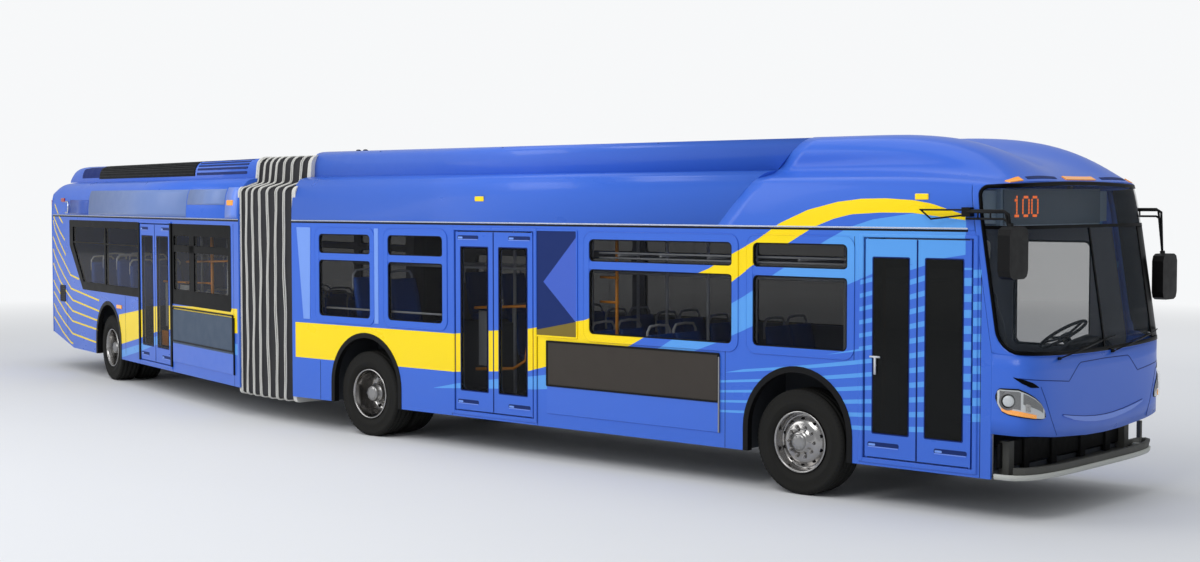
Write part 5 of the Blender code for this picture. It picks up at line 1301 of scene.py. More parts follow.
def side_markers():
    shape = Shape()
    for x, z in ((-4.14, 2.713), (1.29, 2.73)):
        for side in (-1, 1):
            xs, zs = (x - 0.066, x + 0.066), (z - 0.026, z + 0.026)
            add_marker(shape, xs, zs, half_width(z), "marker", 0.006, side)
    shape.make("side_markers")
    shape = Shape()
    add_marker(shape, (-8.66, -8.46), (2.632, 2.7), half_width(2.67), "amber")
    shape.box((-13.08, -12.86), faces(-1, -0.002, 0.014), (1.1, 1.155), "amber", 0.008)
    add_marker(shape, (-15.89, -15.71), (2.67, 2.73), half_width(2.7), "red")
    shape.rim((-15.96, -15.68), (1.07, 1.335), (0, 0.02), (-0.015, 0.015), (-0.002, 0.008), "black")
    for k in range(7):
        z = 1.1 + 0.034 * k
        shape.plate((-15.95, -15.69), (z, z + 0.016), (-0.002, 0.006), "black")
    shape.plate((-15.95, -15.69), (1.08, 1.325), (-0.002, 0.0045), "frit")
    handle = [(-15.58, 2.5), (-15.46, 2.5), (-15.43, 2.59), (-15.46, 2.67), (-15.58, 2.67)]
    out = half_width(2.6) + 0.02
    shape.tube([(x, -out, z) for x, z in handle], 0.014, "bright")
    shape.make("rear_side_markers", "rear")


def tail_lines():
    shape = Shape()
    for line in (
        ((-14.95, 1.46), (-15.397, 1.509), (-15.795, 1.736), (-16.121, 1.921), (TAIL_X, 2.1)),
        (
            (-13.95, 1.173), (-15.381, 1.295), (-15.754, 1.48), (-16.024, 1.632), (-16.241, 1.788),
            (TAIL_X, 1.9)
        ),
        (
            (-13.95, 1.011), (-15.309, 1.115), (-15.629, 1.236), (-15.981, 1.391), (-16.198, 1.545),
            (TAIL_X, 1.67)
        ),
        (
            (-14.00, 0.861), (-15.318, 0.943), (-15.693, 1.065), (-15.964, 1.181), (-16.211, 1.3),
            (TAIL_X, 1.39)
        ),
        ((-14.03, 0.723), (-15.326, 0.781), (-15.701, 0.903), (-16.054, 1.063), (TAIL_X, 1.205)),
        ((-14.07, 0.522), (-15.337, 0.581), (-15.793, 0.737), (-16.176, 0.894), (TAIL_X, 1.01)),
        ((-15.318, 0.423), (-15.425, 0.431), (-15.857, 0.572), (TAIL_X, 0.79)),
        ((-15.653, 1.82), (-15.948, 2.006), (-16.218, 2.212), (-16.32, 2.37)),
        ((-15.695, 2.059), (-15.938, 2.184), (-16.155, 2.326), (-16.289, 2.43)),
        ((-15.791, 2.33), (-15.99, 2.432)),
        ((-16.04, 2.475), (-16.252, 2.634)),
    ):
        painted_line(shape, line, trim().pin_line)
    shape.make("tail_lines", "rear")


def painted_line(shape, line, width):
    """A painted line on the right side, as a very thin strip of even width."""
    spots = [Vector(spot) for spot in line]
    ways = [(after - here).normalized() for here, after in zip(spots, spots[1:])]
    ways = [ways[0]] + [(before + after).normalized() for before, after in zip(ways, ways[1:])] + [ways[-1]]
    rings = []
    for spot, way in zip(spots, ways):
        ring = []
        for step, proud in ((-1, -0.001), (-1, 0.0022), (1, 0.0022), (1, -0.001)):
            x, z = spot.x - way.y * width / 2 * step, spot.y + way.x * width / 2 * step
            ring.append((x, -half_width(z) - proud, z))
        rings.append(ring)
    shape.rings(rings, "tail_yellow", soft=False)


def side_trim():
    for section, axles, xs in (
        ("front", (0.0, MIDDLE_AXLE_X), (FRONT_END_X, 1.75)),
        ("rear", (REAR_AXLE_X,), (TAIL_X, REAR_START_X)),
    ):
        shape = Shape()
        for side in (-1, 1):
            for x in axles:
                arch_lip(shape, x, side)
                # A black liner behind each rear arch: real arches carry one, and it also stands in as painted
                # shade for the dark under the rear overhang
                if section == "rear":
                    back = x - ARCH_RADIUS
                    shape.box((back + 0.004, back + 0.018), faces(side, -0.03, -0.62), (0.36, 0.8), "chassis")
            z = RAIL_Z + 0.012
            shape.plate(xs, (z, z + trim().bead), (-0.004, 0.006), "bright", 0.002, side)
            shape.plate(xs, (z - 0.02, z - 0.002), (-0.004, 0.002), "black", 0.0, side)
        for x, low, high in SEAMS[section]:
            for side in (-1, 1):
                if side < 0 or x < 1:
                    xs = (x - 0.0025, x + 0.0025)
                    shape.plate(xs, (low, high), (-0.002, 0.0012), "black", 0.0, side)
        shape.make(section + "_side_trim", section)
    side_boards()
    side_markers()
    tail_lines()


class BUS_OT_side_trim(bpy.types.Operator):
    """Adds rail beads, seams, arch lips, boards and side markers"""

    bl_idname = "bus.side_trim"
    bl_label = "Side trim"

    def execute(self, context):
        side_trim()
        return {"FINISHED"}


# The push slots on a leaf: their ends, foot, top, corner radius, depth and finish. Each slot is dark blue
# painted shade in its recess, with a painted highlight along its lower edge and a brighter one at its end
LEAF_SLOT = (
    (0.0, 0.32, -0.022, 0.022, 0.018, 0.0015, "navy"),
    (0.006, 0.314, -0.026, -0.016, 0.004, 0.005, "lip"),
    (0.01, 0.08, -0.012, 0.008, 0.008, 0.004, "pillar"),
)


def door_leaf(door, half, low, high, section):
    shape = Shape()
    out, zs = LEAF_PROUD, LEAF_GLASS_Z
    xs = (low + LEAF_FRAME, high - LEAF_FRAME)
    rear, front_door = half == "rear", door == "front_door"
    glass = "door_glass" if front_door else "dark_glass"
    hole = (-0.01, WINDOW_ROUND - 0.01)
    shape.rim(xs, zs, (0.006, 0.012), hole, (out - 0.02, out + 0.0012), "frit")
    shape.plate(xs, zs, (out + 0.0014, out + 0.0035), glass, 0.001, grow=0.002, radius=0.01)
    shape.rim(xs, zs, (0.016, 0.016), (0.006, 0.012), (out - 0.002, out + 0.0016), "seam")
    ends = (high - 0.003, high + 0.004) if rear else (low - 0.004, low + 0.003)
    shape.plate(ends, (LEAF_Z[0] + 0.005, LEAF_Z[1] - 0.005), (out - 0.036, out + 0.002), "seam", 0.001)
    start = low + 0.03 if rear else high - 0.35
    for z in (0.55,) if front_door else (0.53, 2.3):
        for first, last, foot, top, radius, proud, finish in LEAF_SLOT:
            ends, depths = (start + first, start + last), (out - 0.002, out + proud)
            shape.plate(ends, (z + foot, z + top), depths, finish, radius=radius)
    if front_door and rear:
        y = face(-1, out) - 0.018
        shape.tube([(0.852, y, 1.17), (0.852, y, 1.33)], 0.011, "pole")
        shape.tube([(0.8, y, 1.325), (0.9, y, 1.325)], 0.009, "pole")
        shape.tube([(0.852, y + 0.02, 1.25), (0.852, y, 1.25)], 0.009, "pole")
    shape.make(f"{door}_{half}_trim", section, f"{door}_leaf_{half}")


def niche_panel():
    """The panel ahead of the middle door, dark with painted shade of a shallow recess, with a lighter wedge
    of painted light and its yellow foot darkened as painted shade; then painted highlights on two pillars
    further back.
    """
    shape = Shape()
    xs, zs = (-3.3, -2.72), (1.305, 2.385)
    (x0, x1), (z0, z1) = xs, zs
    # Painted shade: the dark panel, a lighter painted wedge where less shade falls, and the yellow band at
    # its foot darkened
    shape.plate(xs, zs, (-0.002, 0.004), "navy", 0.002, radius=0.012)
    shape.slab([(x1, z0 + 0.15), (x1, z1 - 0.06), (x0 + 0.12, 1.86)], faces(-1, 0.0, 0.0055), "niche")
    shape.slab([(x0, z0), (x1, z0), (x1, z0 + 0.16), (x0, z0 + 0.05)], faces(-1, 0.0, 0.007), "gold")
    shape.rim(xs, zs, (0.014, 0.02), (-0.002, 0.01), (-0.002, 0.01), "front_paint")
    # Painted highlights: a pale wedge on the sloped pillar at the section's end, and a strip on the pillar
    # between two window frames
    wedge = [(-7.22, 2.38), (-7.1, 1.3), (-6.98, 1.3), (-6.96, 2.38)]
    shape.slab(wedge, faces(-1, -0.002, 0.008), "pillar", 0.003)
    shape.plate((-5.83, -5.76), (1.3, 2.38), (-0.002, 0.006), "pillar", 0.003)
    shape.make("side_niche_shade_and_pillar_highlights")


def door_trim():
    for door, xs in DOORS.items():
        section = "rear" if door == "rear_door" else "front"
        low, high = xs
        middle = (low + high) / 2
        door_leaf(door, "rear", low + 0.01, middle - 0.005, section)
        door_leaf(door, "front", middle + 0.005, high - 0.01, section)
        shape = Shape()
        paint = section + "_paint"
        for x in (low - 0.032, high + 0.032):
            shape.plate((x - 0.022, x + 0.022), (0.39, 2.4), (-0.003, 0.015), paint, 0.006)
        shape.plate((low - 0.05, high + 0.05), (2.375, 2.405), (-0.003, 0.013), paint, 0.005)
        shape.plate((low - 0.05, high + 0.05), (0.385, 0.425), (-0.003, 0.01), paint, 0.004)
        shape.rim(xs, (0.43, 2.37), (0.008, 0.01), (0.001, 0.004), (-0.05, 0.002), "seam")
        if door == "rear_door":
            for x in (low - 0.03, high + 0.03):
                shape.plate((x - 0.032, x + 0.032), (0.42, 2.385), (0.0, 0.0165), "frit", 0.003)
        shape.make(f"{door}_frame", section)
    niche_panel()


class BUS_OT_doors(bpy.types.Operator):
    """Fits glass, seals, slots and frames to the door leaves"""

    bl_idname = "bus.doors"
    bl_label = "Doors"

    def execute(self, context):
        door_trim()
        return {"FINISHED"}


def screen_outline(inset, radii):
    """The windscreen's outline as way and height, with the same count of points at every inset."""
    x0, x1, z0, z1 = 0.062 + inset, NOSE_LENGTH - 0.05 - inset, inset, SCREEN_TALL - inset
    corners = rounded(
        [(x0, z0), (x1, z0), (x1, z1), (x0, z1)], [max(radius - inset, 0.004) for radius in radii], 6
    )
    loop = []
    for corner, fill in enumerate((44, 18, 44, 18)):
        arc = corners[corner * 7:corner * 7 + 7]
        start, end = Vector(arc[-1]), Vector(corners[(corner * 7 + 7) % 28])
        loop += arc + [tuple(start.lerp(end, k / (fill + 1))) for k in range(1, fill + 1)]
    return loop


def screen_band(shape, outer, inner, finish, proud, thick=0.006, across=1):
    """A closed band round the windscreen between two outlines."""
    def skin(loop, out):
        rows = []
        for along, up in loop:
            along = min(max(along, 0.0), NOSE_LENGTH)
            z = foot_z(along) + (head_z(along) - foot_z(along)) * up / SCREEN_TALL
            rows.append(nose_point(along, z, out))
        return rows

    loops = []
    for k in range(across + 1):
        mixed = [tuple(Vector(a).lerp(Vector(b), k / across)) for a, b in zip(outer, inner)]
        loops.append(skin(mixed, proud))
    loops += [skin(inner, proud - thick), skin(outer, proud - thick)]
    shape.rings(loops, finish, closed=True)


def screen_surround():
    shape = Shape()
    radii = (0.19, 0.19, 0.09, 0.09)
    edge = screen_outline(-0.058, (0.004,) * 4)
    edge = [(along, min(max(up, -0.006), SCREEN_TALL + 0.004)) for along, up in edge]
    outer, inner = screen_outline(0.0, radii), screen_outline(0.034, radii)
    screen_band(shape, edge, outer, "front_paint", 0.0015, 0.004, 5)
    screen_band(shape, outer, inner, "frit", 0.005)
    low, high = (lambda a: RAIL_Z + 0.018), (lambda a: RAIL_Z + 0.046)
    nose_strip(shape, low, high, "frit", 0.004, 0.01, 0.09, NOSE_LENGTH - 0.08)
    for low, high, first in ((0.03, 0.735, 2.56), (0.72, 0.98, 2.86)):
        shares = (low, (low * 2 + high) / 3, (low + high * 2) / 3, high)
        ways = nose_ways(first, NOSE_LENGTH - 0.07, 0.05)
        shape.shell(*nose_grids(foot_z, head_z, shares, (0.002, -0.004), ways), "frit")
    left, right = NOSE_LENGTH / 2 - 0.012, NOSE_LENGTH / 2 + 0.012
    nose_patch(shape, [(left, 1.39), (left, 2.46)], [(right, 1.39), (right, 2.46)], "frit", 0.004, 0.014, 8)
    shape.make("windscreen_surround")


def sign_face():
    shape = Shape()
    x = 1.862
    flat_panel(shape, x, (-0.91, 0.91), (2.485, 2.79), "sign", 0.008)
    one = ("00100", "01100", "00100", "00100", "00100", "00100", "01110")
    zero = ("01110", "10001", "10001", "10001", "10001", "10001", "01110")
    pitch = 0.027
    for place, digit in enumerate((one, zero, zero)):
        for row, line in enumerate(digit):
            for column, lit in enumerate(line):
                if lit == "1":
                    y = -0.74 + (place * 6 + column) * pitch
                    z = 2.725 - row * pitch
                    flat_panel(shape, x + 0.01, (y - 0.01, y + 0.01), (z - 0.011, z + 0.011), "lit", 0.003)
    for ys in ((-1.17, -0.925), (0.925, 1.17)):
        flat_panel(shape, 1.8, ys, (2.5, 2.78), "sign_case", 0.01)
    shape.make("sign_face")


def flat_panel(shape, x, ys, zs, finish, thick):
    corners = rectangle(ys, zs)
    shape.rings([[(out, y, z) for y, z in corners] for out in (x, x + thick)], finish, soft=False)


def headlamp(side):
    shape = Shape()
    tops = (
        (0.043, 1.075), (0.055, 1.11), (0.083, 1.13), (0.248, 1.132), (0.315, 1.105), (0.394, 1.062),
        (0.465, 1.01), (0.512, 0.95), (0.53, 0.912)
    )
    feet = (
        (0.043, 1.045), (0.071, 0.99), (0.102, 0.945), (0.162, 0.922), (0.264, 0.908), (0.382, 0.89),
        (0.477, 0.88), (0.51, 0.884), (0.53, 0.896)
    )
    turned = (lambda line: line) if side < 0 else mirrored_line
    ways = [0.043 + 0.487 * (k / 24) for k in range(25)]

    def patch(first, last, low, high, finish, proud, thick=0.006):
        """A part of the lamp between two ways and two shares of its height."""
        lows, highs = [], []
        for way in [w for w in ways if first - 1e-6 <= w <= last + 1e-6]:
            top, foot = (float(np.interp(way, *zip(*line))) for line in (tops, feet))
            lows.append((way, foot + (top - foot) * low))
            highs.append((way, foot + (top - foot) * high))
        nose_patch(shape, turned(lows), turned(highs), finish, proud, thick, 2 * len(lows))

    patch(0.043, 0.53, -0.03, 1.03, "black", 0.006, 0.008)
    patch(0.047, 0.526, 0.03, 0.97, "lens", 0.01, 0.008)
    patch(0.27, 0.5, 0.5, 0.93, "reflector", 0.013)
    patch(0.065, 0.27, 0.26, 0.93, "reflector", 0.012)
    patch(0.1, 0.41, 0.02, 0.2, "amber", 0.016)
    patch(0.3, 0.36, 0.27, 0.56, "chrome", 0.018)
    way = 0.165 if side < 0 else NOSE_LENGTH - 0.165
    centre, ahead = nose_point(way, 1.035, 0.008), nose_point(way, 1.035, 0.05)
    direction = (ahead - centre) * Vector((1, 1, 0))
    for radius, depth, finish in (
        (0.078, 0.012, "reflector"), (0.06, 0.017, "black"), (0.047, 0.022, "lens")
    ):
        lamp_disc(shape, centre, direction, radius, depth, finish)
    patch(0.047, 0.526, 0.03, 0.97, "cover", 0.03, 0.003)
    # A black crescent over each lamp: painted shadow under the scoop's edge
    scoop_shadow_top = [(0.205, 1.234), (0.288, 1.217), (0.374, 1.188), (0.44, 1.15)]
    scoop_shadow_low = [(0.205, 1.228), (0.27, 1.186), (0.35, 1.148), (0.44, 1.144)]
    nose_patch(shape, turned(scoop_shadow_low), turned(scoop_shadow_top), "frit", 0.003, 0.005)
    shape.make(f"headlamp_{'left' if side > 0 else 'right'}")


def lamp_disc(shape, centre, direction, radius, depth, finish):
    direction = direction.normalized()
    across = direction.cross(Vector((0, 0, 1))).normalized()
    up = across.cross(direction)
    rings = []
    for out, r in (
        (-0.006, radius), (depth, radius), (depth * 1.4, radius * 0.92), (depth * 1.1, radius * 0.2)
    ):
        rings.append([centre + direction * out + r * (c * across + s * up) for c, s in circle(28)])
    shape.rings(rings, finish)


def crease(shape, line, width):
    """A thin dark line on the nose through points of way and height. It draws the seams, and the painted
    shadow along the top of the smile.
    """
    for (a0, z0), (a1, z1) in zip(line, line[1:]):
        share = width / 2 / hypot(a1 - a0, z1 - z0)
        na, nz = (z0 - z1) * share, (a1 - a0) * share
        lows, highs = [(a0 - na, z0 - nz), (a1 - na, z1 - nz)], [(a0 + na, z0 + nz), (a1 + na, z1 + nz)]
        nose_patch(shape, lows, highs, "seam", 0.0015, 0.004, 10)


def mask_seams_and_smile_light():
    shape = Shape()
    half = [
        (0.25, 1.225), (0.461, 1.205), (0.91, 1.165), (1.08, 1.295), (1.12, 1.312), (NOSE_LENGTH / 2, 1.318)
    ]
    seam = [(0.465, 1.15), (0.544, 1.01), (0.622, 0.86), (0.705, 0.725)]
    for turned in ((lambda line: line), mirrored_line):
        crease(shape, turned(half), 0.007)
        crease(shape, turned(seam), 0.005)
        # The smile: a lighter crescent of painted highlight along a crease, under a thin line of painted
        # shadow
        top = [(0.8, 0.888), (1.0, 0.862), (1.2, 0.84), (1.4, 0.826), (NOSE_LENGTH / 2, 0.822)]
        low = [(0.83, 0.872), (1.0, 0.828), (1.2, 0.798), (1.4, 0.78), (NOSE_LENGTH / 2, 0.776)]
        nose_patch(shape, turned(low), turned(top), "lip", 0.012, 0.012, 24)
        crease(shape, turned(top), 0.009)
    shape.make("mask_seams_and_smile_light")


def wipers():
    shape = Shape()
    for start, end in ((0.72, 1.5), (1.7, 2.48)):
        hub, foot = nose_point(start, 1.37, 0.0), nose_point(start, 1.375, 0.028)
        tip = nose_point(end, 1.475, 0.02)
        shape.tube([hub, foot], 0.014, "black", 10)
        middle = (foot + tip) / 2 + Vector((0.02, 0, 0.004))
        shape.tube([foot, middle, tip], 0.006, "black", 6)
        blade = [nose_point(end - 0.42 + 0.1 * k, 1.435 + 0.01 * k, 0.012) for k in range(8)]
        shape.tube(blade, 0.005, "rubber", 5)
    shape.make("wipers")


def roof_edge_lamps():
    shape = Shape()
    for y0, y1, low, high, finish, proud in (
        (-1.17, -1.03, 0.972, 0.994, "amber", 0.01),
        (-0.29, 0.29, 0.972, 0.992, "amber", 0.01),
        (1.03, 1.17, 0.972, 0.994, "amber", 0.01),
        # The dark blue strips between the lamps are painted shade in recessed slots
        (-0.94, -0.44, 0.976, 0.988, "navy", 0.003),
        (0.44, 0.94, 0.976, 0.988, "navy", 0.003),
    ):
        rings = []
        for k in range(9):
            column = crown_column(y0 + (y1 - y0) * k / 8)
            ring = [crown_point(column, low + (high - low) * j / 3, proud) for j in range(4)]
            ring += [crown_point(column, high, -0.004), crown_point(column, low, -0.004)]
            rings.append(ring)
        shape.rings(rings, finish, soft=False)
    shape.make("roof_edge_lamps")


class BUS_OT_nose(bpy.types.Operator):
    """Builds the windscreen surround, sign, lamps and seams of the nose, the scoops' painted shadows and the
    smile's painted highlight and shadow
    """

    bl_idname = "bus.nose"
    bl_label = "Nose"

    def execute(self, context):
        screen_surround()
        sign_face()
        for side in (-1, 1):
            headlamp(side)
        mask_seams_and_smile_light()
        wipers()
        roof_edge_lamps()
        return {"FINISHED"}


def add_tyre(shape, place, side, middle):
    half, crown, bead = TYRE_WIDTH / 2, ROLL_HEIGHT, RIM_RADIUS - 0.002
    grooves = []
    for centre in (0.098, 0.034, -0.034, -0.098):
        grooves += [(crown, centre + 0.007), (crown - 0.012, centre + 0.005)]
        grooves += [(crown - 0.012, centre - 0.005), (crown, centre - 0.007)]
    profile = [
        (bead, half * 0.74), (bead + 0.008, half * 0.86), (bead + 0.022, half * 0.9),
        (bead + 0.028, half * 0.955), (bead + 0.07, half), (bead + 0.075, half * 1.012),
        (bead + 0.082, half), (crown - 0.085, half * 0.985), (crown - 0.05, half * 0.965),
        (crown - 0.045, half * 0.975), (crown - 0.016, half * 0.925), (crown - 0.004, half * 0.85),
    ]
    right = [(radius, -out) for radius, out in profile[::-1]]
    outline = [(radius, out + middle) for radius, out in profile + grooves + right]
    steps = 72
    x, y, z = place
    rings = [[(x + r * c, y + side * out, z + r * s) for r, out in outline] for c, s in circle(steps)]
    shape.rings(rings, "tyre", closed=True)
    for c, s in circle(steps, pi / steps):
        for edge in (1, -1):
            points = []
            for r, out in ((crown - 0.028, half * 0.958 + 0.002), (crown - 0.01, half * 0.93 + 0.002)):
                for swing in (-0.006, 0.006):
                    out_y = y + side * (middle + edge * out)
                    points.append((x + r * c - swing * s, out_y, z + r * s + swing * c))
            shape.add(points, [(0, 1, 3, 2)], "black")


def round_hub(place, radius, count, turn=0.0):
    """Places in equal steps round the hub."""
    return [(place[0] + radius * c, place[1], place[2] + radius * s) for c, s in circle(count, turn)]


def wheel_nuts(shape, place, side, radius, out):
    count, size = 10, 0.016
    for k, spot in enumerate(round_hub(place, radius, count)):
        washer, nut = size * 1.35, [(size, out), (size, out + 0.022), (size * 0.8, out + 0.027)]
        shape.lathe([(washer, out - 0.006), (washer, out + 0.003)], spot, side, "chrome", 16)
        shape.lathe(nut, spot, side, "chrome", 6, 2 * pi * k / count)
        shape.lathe([(size * 0.45, out + 0.02), (size * 0.45, out + 0.036)], spot, side, "chrome", 8)


def front_wheel(shape, place, side):
    rim = TYRE_WIDTH / 2
    profile = [
        (0.075, rim + 0.002), (0.1, rim - 0.012), (0.108, rim - 0.034), (0.165, rim - 0.036),
        (0.19, rim - 0.045), (0.228, rim - 0.082), (0.245, rim - 0.1), (0.252, rim - 0.085),
        (0.262, rim - 0.045), (0.266, rim - 0.018), (0.272, rim - 0.008), (0.282, rim - 0.006),
        (RIM_RADIUS, rim - 0.014), (RIM_RADIUS - 0.002, rim - 0.04), (RIM_RADIUS - 0.006, -rim + 0.03),
        (0.262, -rim + 0.02), (0.24, rim - 0.12), (0.12, rim - 0.06), (0.11, 0.03)
    ]
    shape.lathe(profile, place, side, "chrome", 64)
    wheel_nuts(shape, place, side, 0.14, rim - 0.034)
    cap = [(0.078, rim - 0.03), (0.078, rim + 0.006), (0.06, rim + 0.014), (0.03, rim + 0.018)]
    shape.lathe(cap, place, side, "steel", 32)
    for spot in round_hub(place, 0.056, 8, pi / 8):
        shape.lathe([(0.007, rim + 0.006), (0.007, rim + 0.02)], spot, side, "steel", 6)
    for spot in round_hub(place, 0.208, 10, pi / 10):
        shape.lathe(
            [(0.017, rim - 0.085), (0.017, rim - 0.058), (0.013, rim - 0.058)], spot, side, "frit", 14
        )


def dished_wheel(shape, place, side):
    rim = TYRE_WIDTH / 2
    inner = -TWIN_SPACING - rim
    profile = [
        (0.085, 0.02), (0.1, 0.0), (0.115, -0.075), (0.12, -0.118), (0.19, -0.124), (0.222, -0.11),
        (0.24, -0.07), (0.248, 0.02), (0.253, 0.085), (0.264, rim - 0.03), (0.268, rim - 0.012),
        (0.276, rim - 0.006), (RIM_RADIUS, rim - 0.014), (RIM_RADIUS - 0.003, rim - 0.05),
        (RIM_RADIUS - 0.006, inner + 0.03), (0.262, inner + 0.02), (0.25, -0.2), (0.12, -0.16)
    ]
    shape.lathe(profile, place, side, "chrome", 64)
    wheel_nuts(shape, place, side, 0.158, -0.122)
    hub = [
        (0.104, -0.12), (0.104, 0.03), (0.098, 0.042), (0.088, 0.045), (0.086, 0.095), (0.078, 0.107),
        (0.05, 0.112)
    ]
    shape.lathe(hub, place, side, "steel", 40)
    for spot in round_hub(place, 0.068, 8):
        shape.lathe([(0.007, 0.1), (0.007, 0.116)], spot, side, "steel", 6)
    for spot in round_hub(place, 0.206, 10, pi / 10):
        shape.lathe([(0.018, -0.13), (0.018, -0.108), (0.014, -0.108)], spot, side, "frit", 14)


def wheels():
    for axle, x, section in (
        ("front", 0.0, "front"), ("middle", MIDDLE_AXLE_X, "front"), ("rear", REAR_AXLE_X, "rear")
    ):
        for side, label in ((1, "left"), (-1, "right")):
            place = (x, side * TRACK_HALF, ROLL_HEIGHT)
            wheel, tyre = Shape(), Shape()
            if axle == "front":
                front_wheel(wheel, place, side)
                add_tyre(tyre, place, side, 0.0)
            else:
                dished_wheel(wheel, place, side)
                add_tyre(tyre, place, side, 0.0)
                add_tyre(tyre, place, side, -TWIN_SPACING)
            body = f"{axle}_wheel_{label}"
            obj = wheel.make(f"polished_wheel_{axle}_{label}", section, body, "polished_wheel")
            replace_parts(obj, f"wheel_{axle}_{label}")
            obj = tyre.make(f"road_tyre_{axle}_{label}", section, body, "tyre_rubber")
            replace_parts(obj, f"tyre_{axle}_{label}")


class BUS_OT_wheels(bpy.types.Operator):
    """Builds the polished wheels and their tyres"""

    bl_idname = "bus.wheels"
    bl_label = "Wheels"

    def execute(self, context):
        wheels()
        return {"FINISHED"}


def bellows_corners(inset):
    half, shoulder = 1.28 - inset, 1.05 - inset
    low, ledge, high = 0.28 + inset * 0.5, 2.86 - inset, 3.25 - inset
    corners = [
        (-half, low), (half, low), (half, ledge), (shoulder, ledge + 0.07), (shoulder - 0.03, high),
        (-shoulder + 0.03, high), (-shoulder, ledge + 0.07), (-half, ledge)
    ]
    return rounded(corners, [0.045, 0.045, 0.08, 0.05, 0.12, 0.12, 0.05, 0.08], 4)


def bellows_outline(inset):
    """The loop round the bellows, its long sides cut up the same way at every inset."""
    loop, plain = bellows_corners(inset), bellows_corners(0)
    out = []
    for j, here in enumerate(loop):
        after = loop[(j + 1) % len(loop)]
        gap = (Vector(plain[(j + 1) % len(plain)]) - Vector(plain[j])).length
        pieces = max(1, round(gap / 0.2))
        out += [tuple(Vector(here).lerp(Vector(after), k / pieces)) for k in range(pieces)]
    return out


def bellows_ring(share, inset, sway=0.0):
    """A loop of the bellows at a share of the way round the bend. Its cloth sways a little."""
    length = FRONT_END_X - REAR_START_X
    angle = abs(BEND)
    radius = length / 2 / tan(angle / 2)
    points = []
    for y, z in bellows_outline(inset):
        turn = angle * (share + sway * (sin(3.1 * z + 9 * share) + 0.6 * sin(7.3 * z + 23 * share + 2 * y)))
        points.append((FRONT_END_X - (radius - y) * sin(turn), radius - (radius - y) * cos(turn), z))
    return points


def bellows():
    shape = Shape()
    folds, fine = 7, 6
    count = folds * fine * 2
    first, span = 0.004, 0.992
    rows = []
    for k in range(count + 1):
        wave = abs((k / fine) % 2 - 1)
        depth = 0.1 * (1 - wave) ** 0.75
        sway = 0.01 if 1 < k < count - 1 else 0.0
        rows.append(bellows_ring(first + span * k / count, 0.02 + depth, sway))
    inner = [bellows_ring(first + span * k / count, 0.135) for k in (count, 0)]
    shape.rings(rows + inner, "fold", closed=True)
    for fold in range(folds + 1):
        for apart in (-0.012, 0.012):
            share = min(max(first + span * fold / folds + apart, 0.01), 0.99)
            sway = 0.01 if 0 < fold < folds else 0.0
            shape.tube(bellows_ring(share, 0.018, sway), 0.0085, "hem", 6, closed=True)
    obj = shape.make("pleated_bellows", "front", False, "bellows_fabric")
    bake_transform(obj)
    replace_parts(obj, "bellows")
    for x, section, deep in ((FRONT_END_X, "front", 0.05), (REAR_START_X, "rear", -0.05)):
        shape = Shape()
        corners = ((0.0, 0.006), (deep, 0.006), (deep, 0.106), (0.0, 0.106))
        rings = [[(x + depth, y, z) for y, z in bellows_outline(inset)] for depth, inset in corners]
        shape.rings(rings, "hem", closed=True, soft=False)
        shape.make(f"{section}_bellows_frame", section)


class BUS_OT_bellows(bpy.types.Operator):
    """Builds the pleated bellows, curved round the bend between the sections"""

    bl_idname = "bus.bellows"
    bl_label = "Bellows"

    def execute(self, context):
        bellows()
        return {"FINISHED"}


def seat(shape, x, y, floor_z):
    """A moulded shell seat with a curved back and a bent grab rail on top."""
    half = 0.195
    back_x = x - 0.02
    rings = []
    for out, low, high in ((0.4, 0.385, 0.455), (0.2, 0.375, 0.44), (0.06, 0.37, 0.43), (0.01, 0.4, 0.47)):
        ring = [(x + out, y + half * a, floor_z + high + 0.02 * abs(a) ** 3) for a in (-1, -0.8, 0, 0.8, 1)]
        rings.append(ring + [(x + out, y + half * a, floor_z + low) for a in (1, 0.8, 0, -0.8, -1)])
    shape.rings(rings, "seat")
    rings = []
    for up, lean, thick in (
        (0.44, 0.0, 0.05), (0.58, 0.03, 0.045), (0.76, 0.06, 0.04), (0.9, 0.085, 0.035), (0.95, 0.09, 0.02),
    ):
        wide = half * (1 if up < 0.88 else 0.93)
        z = floor_z + up
        ring = [(back_x - lean + thick + 0.02 * a**2, y + wide * a, z) for a in (-1, -0.7, 0, 0.7, 1)]
        rings.append(ring + [(back_x - lean, y + wide * a, z) for a in (1, 0.7, 0, -0.7, -1)])
    shape.rings(rings, "seat")
    path = []
    for across, up in (
        (-0.9, 0.82), (-0.9, 0.98), (-0.7, 1.03), (0, 1.04), (0.7, 1.03), (0.9, 0.98), (0.9, 0.82)
    ):
        path.append((back_x - 0.1, y + half * across, floor_z + up))
    shape.tube(path, 0.014, "pole")


def seat_places(first, last):
    pitch = 0.74
    return [first + pitch * k for k in range(int((last - first) / pitch + 1))]


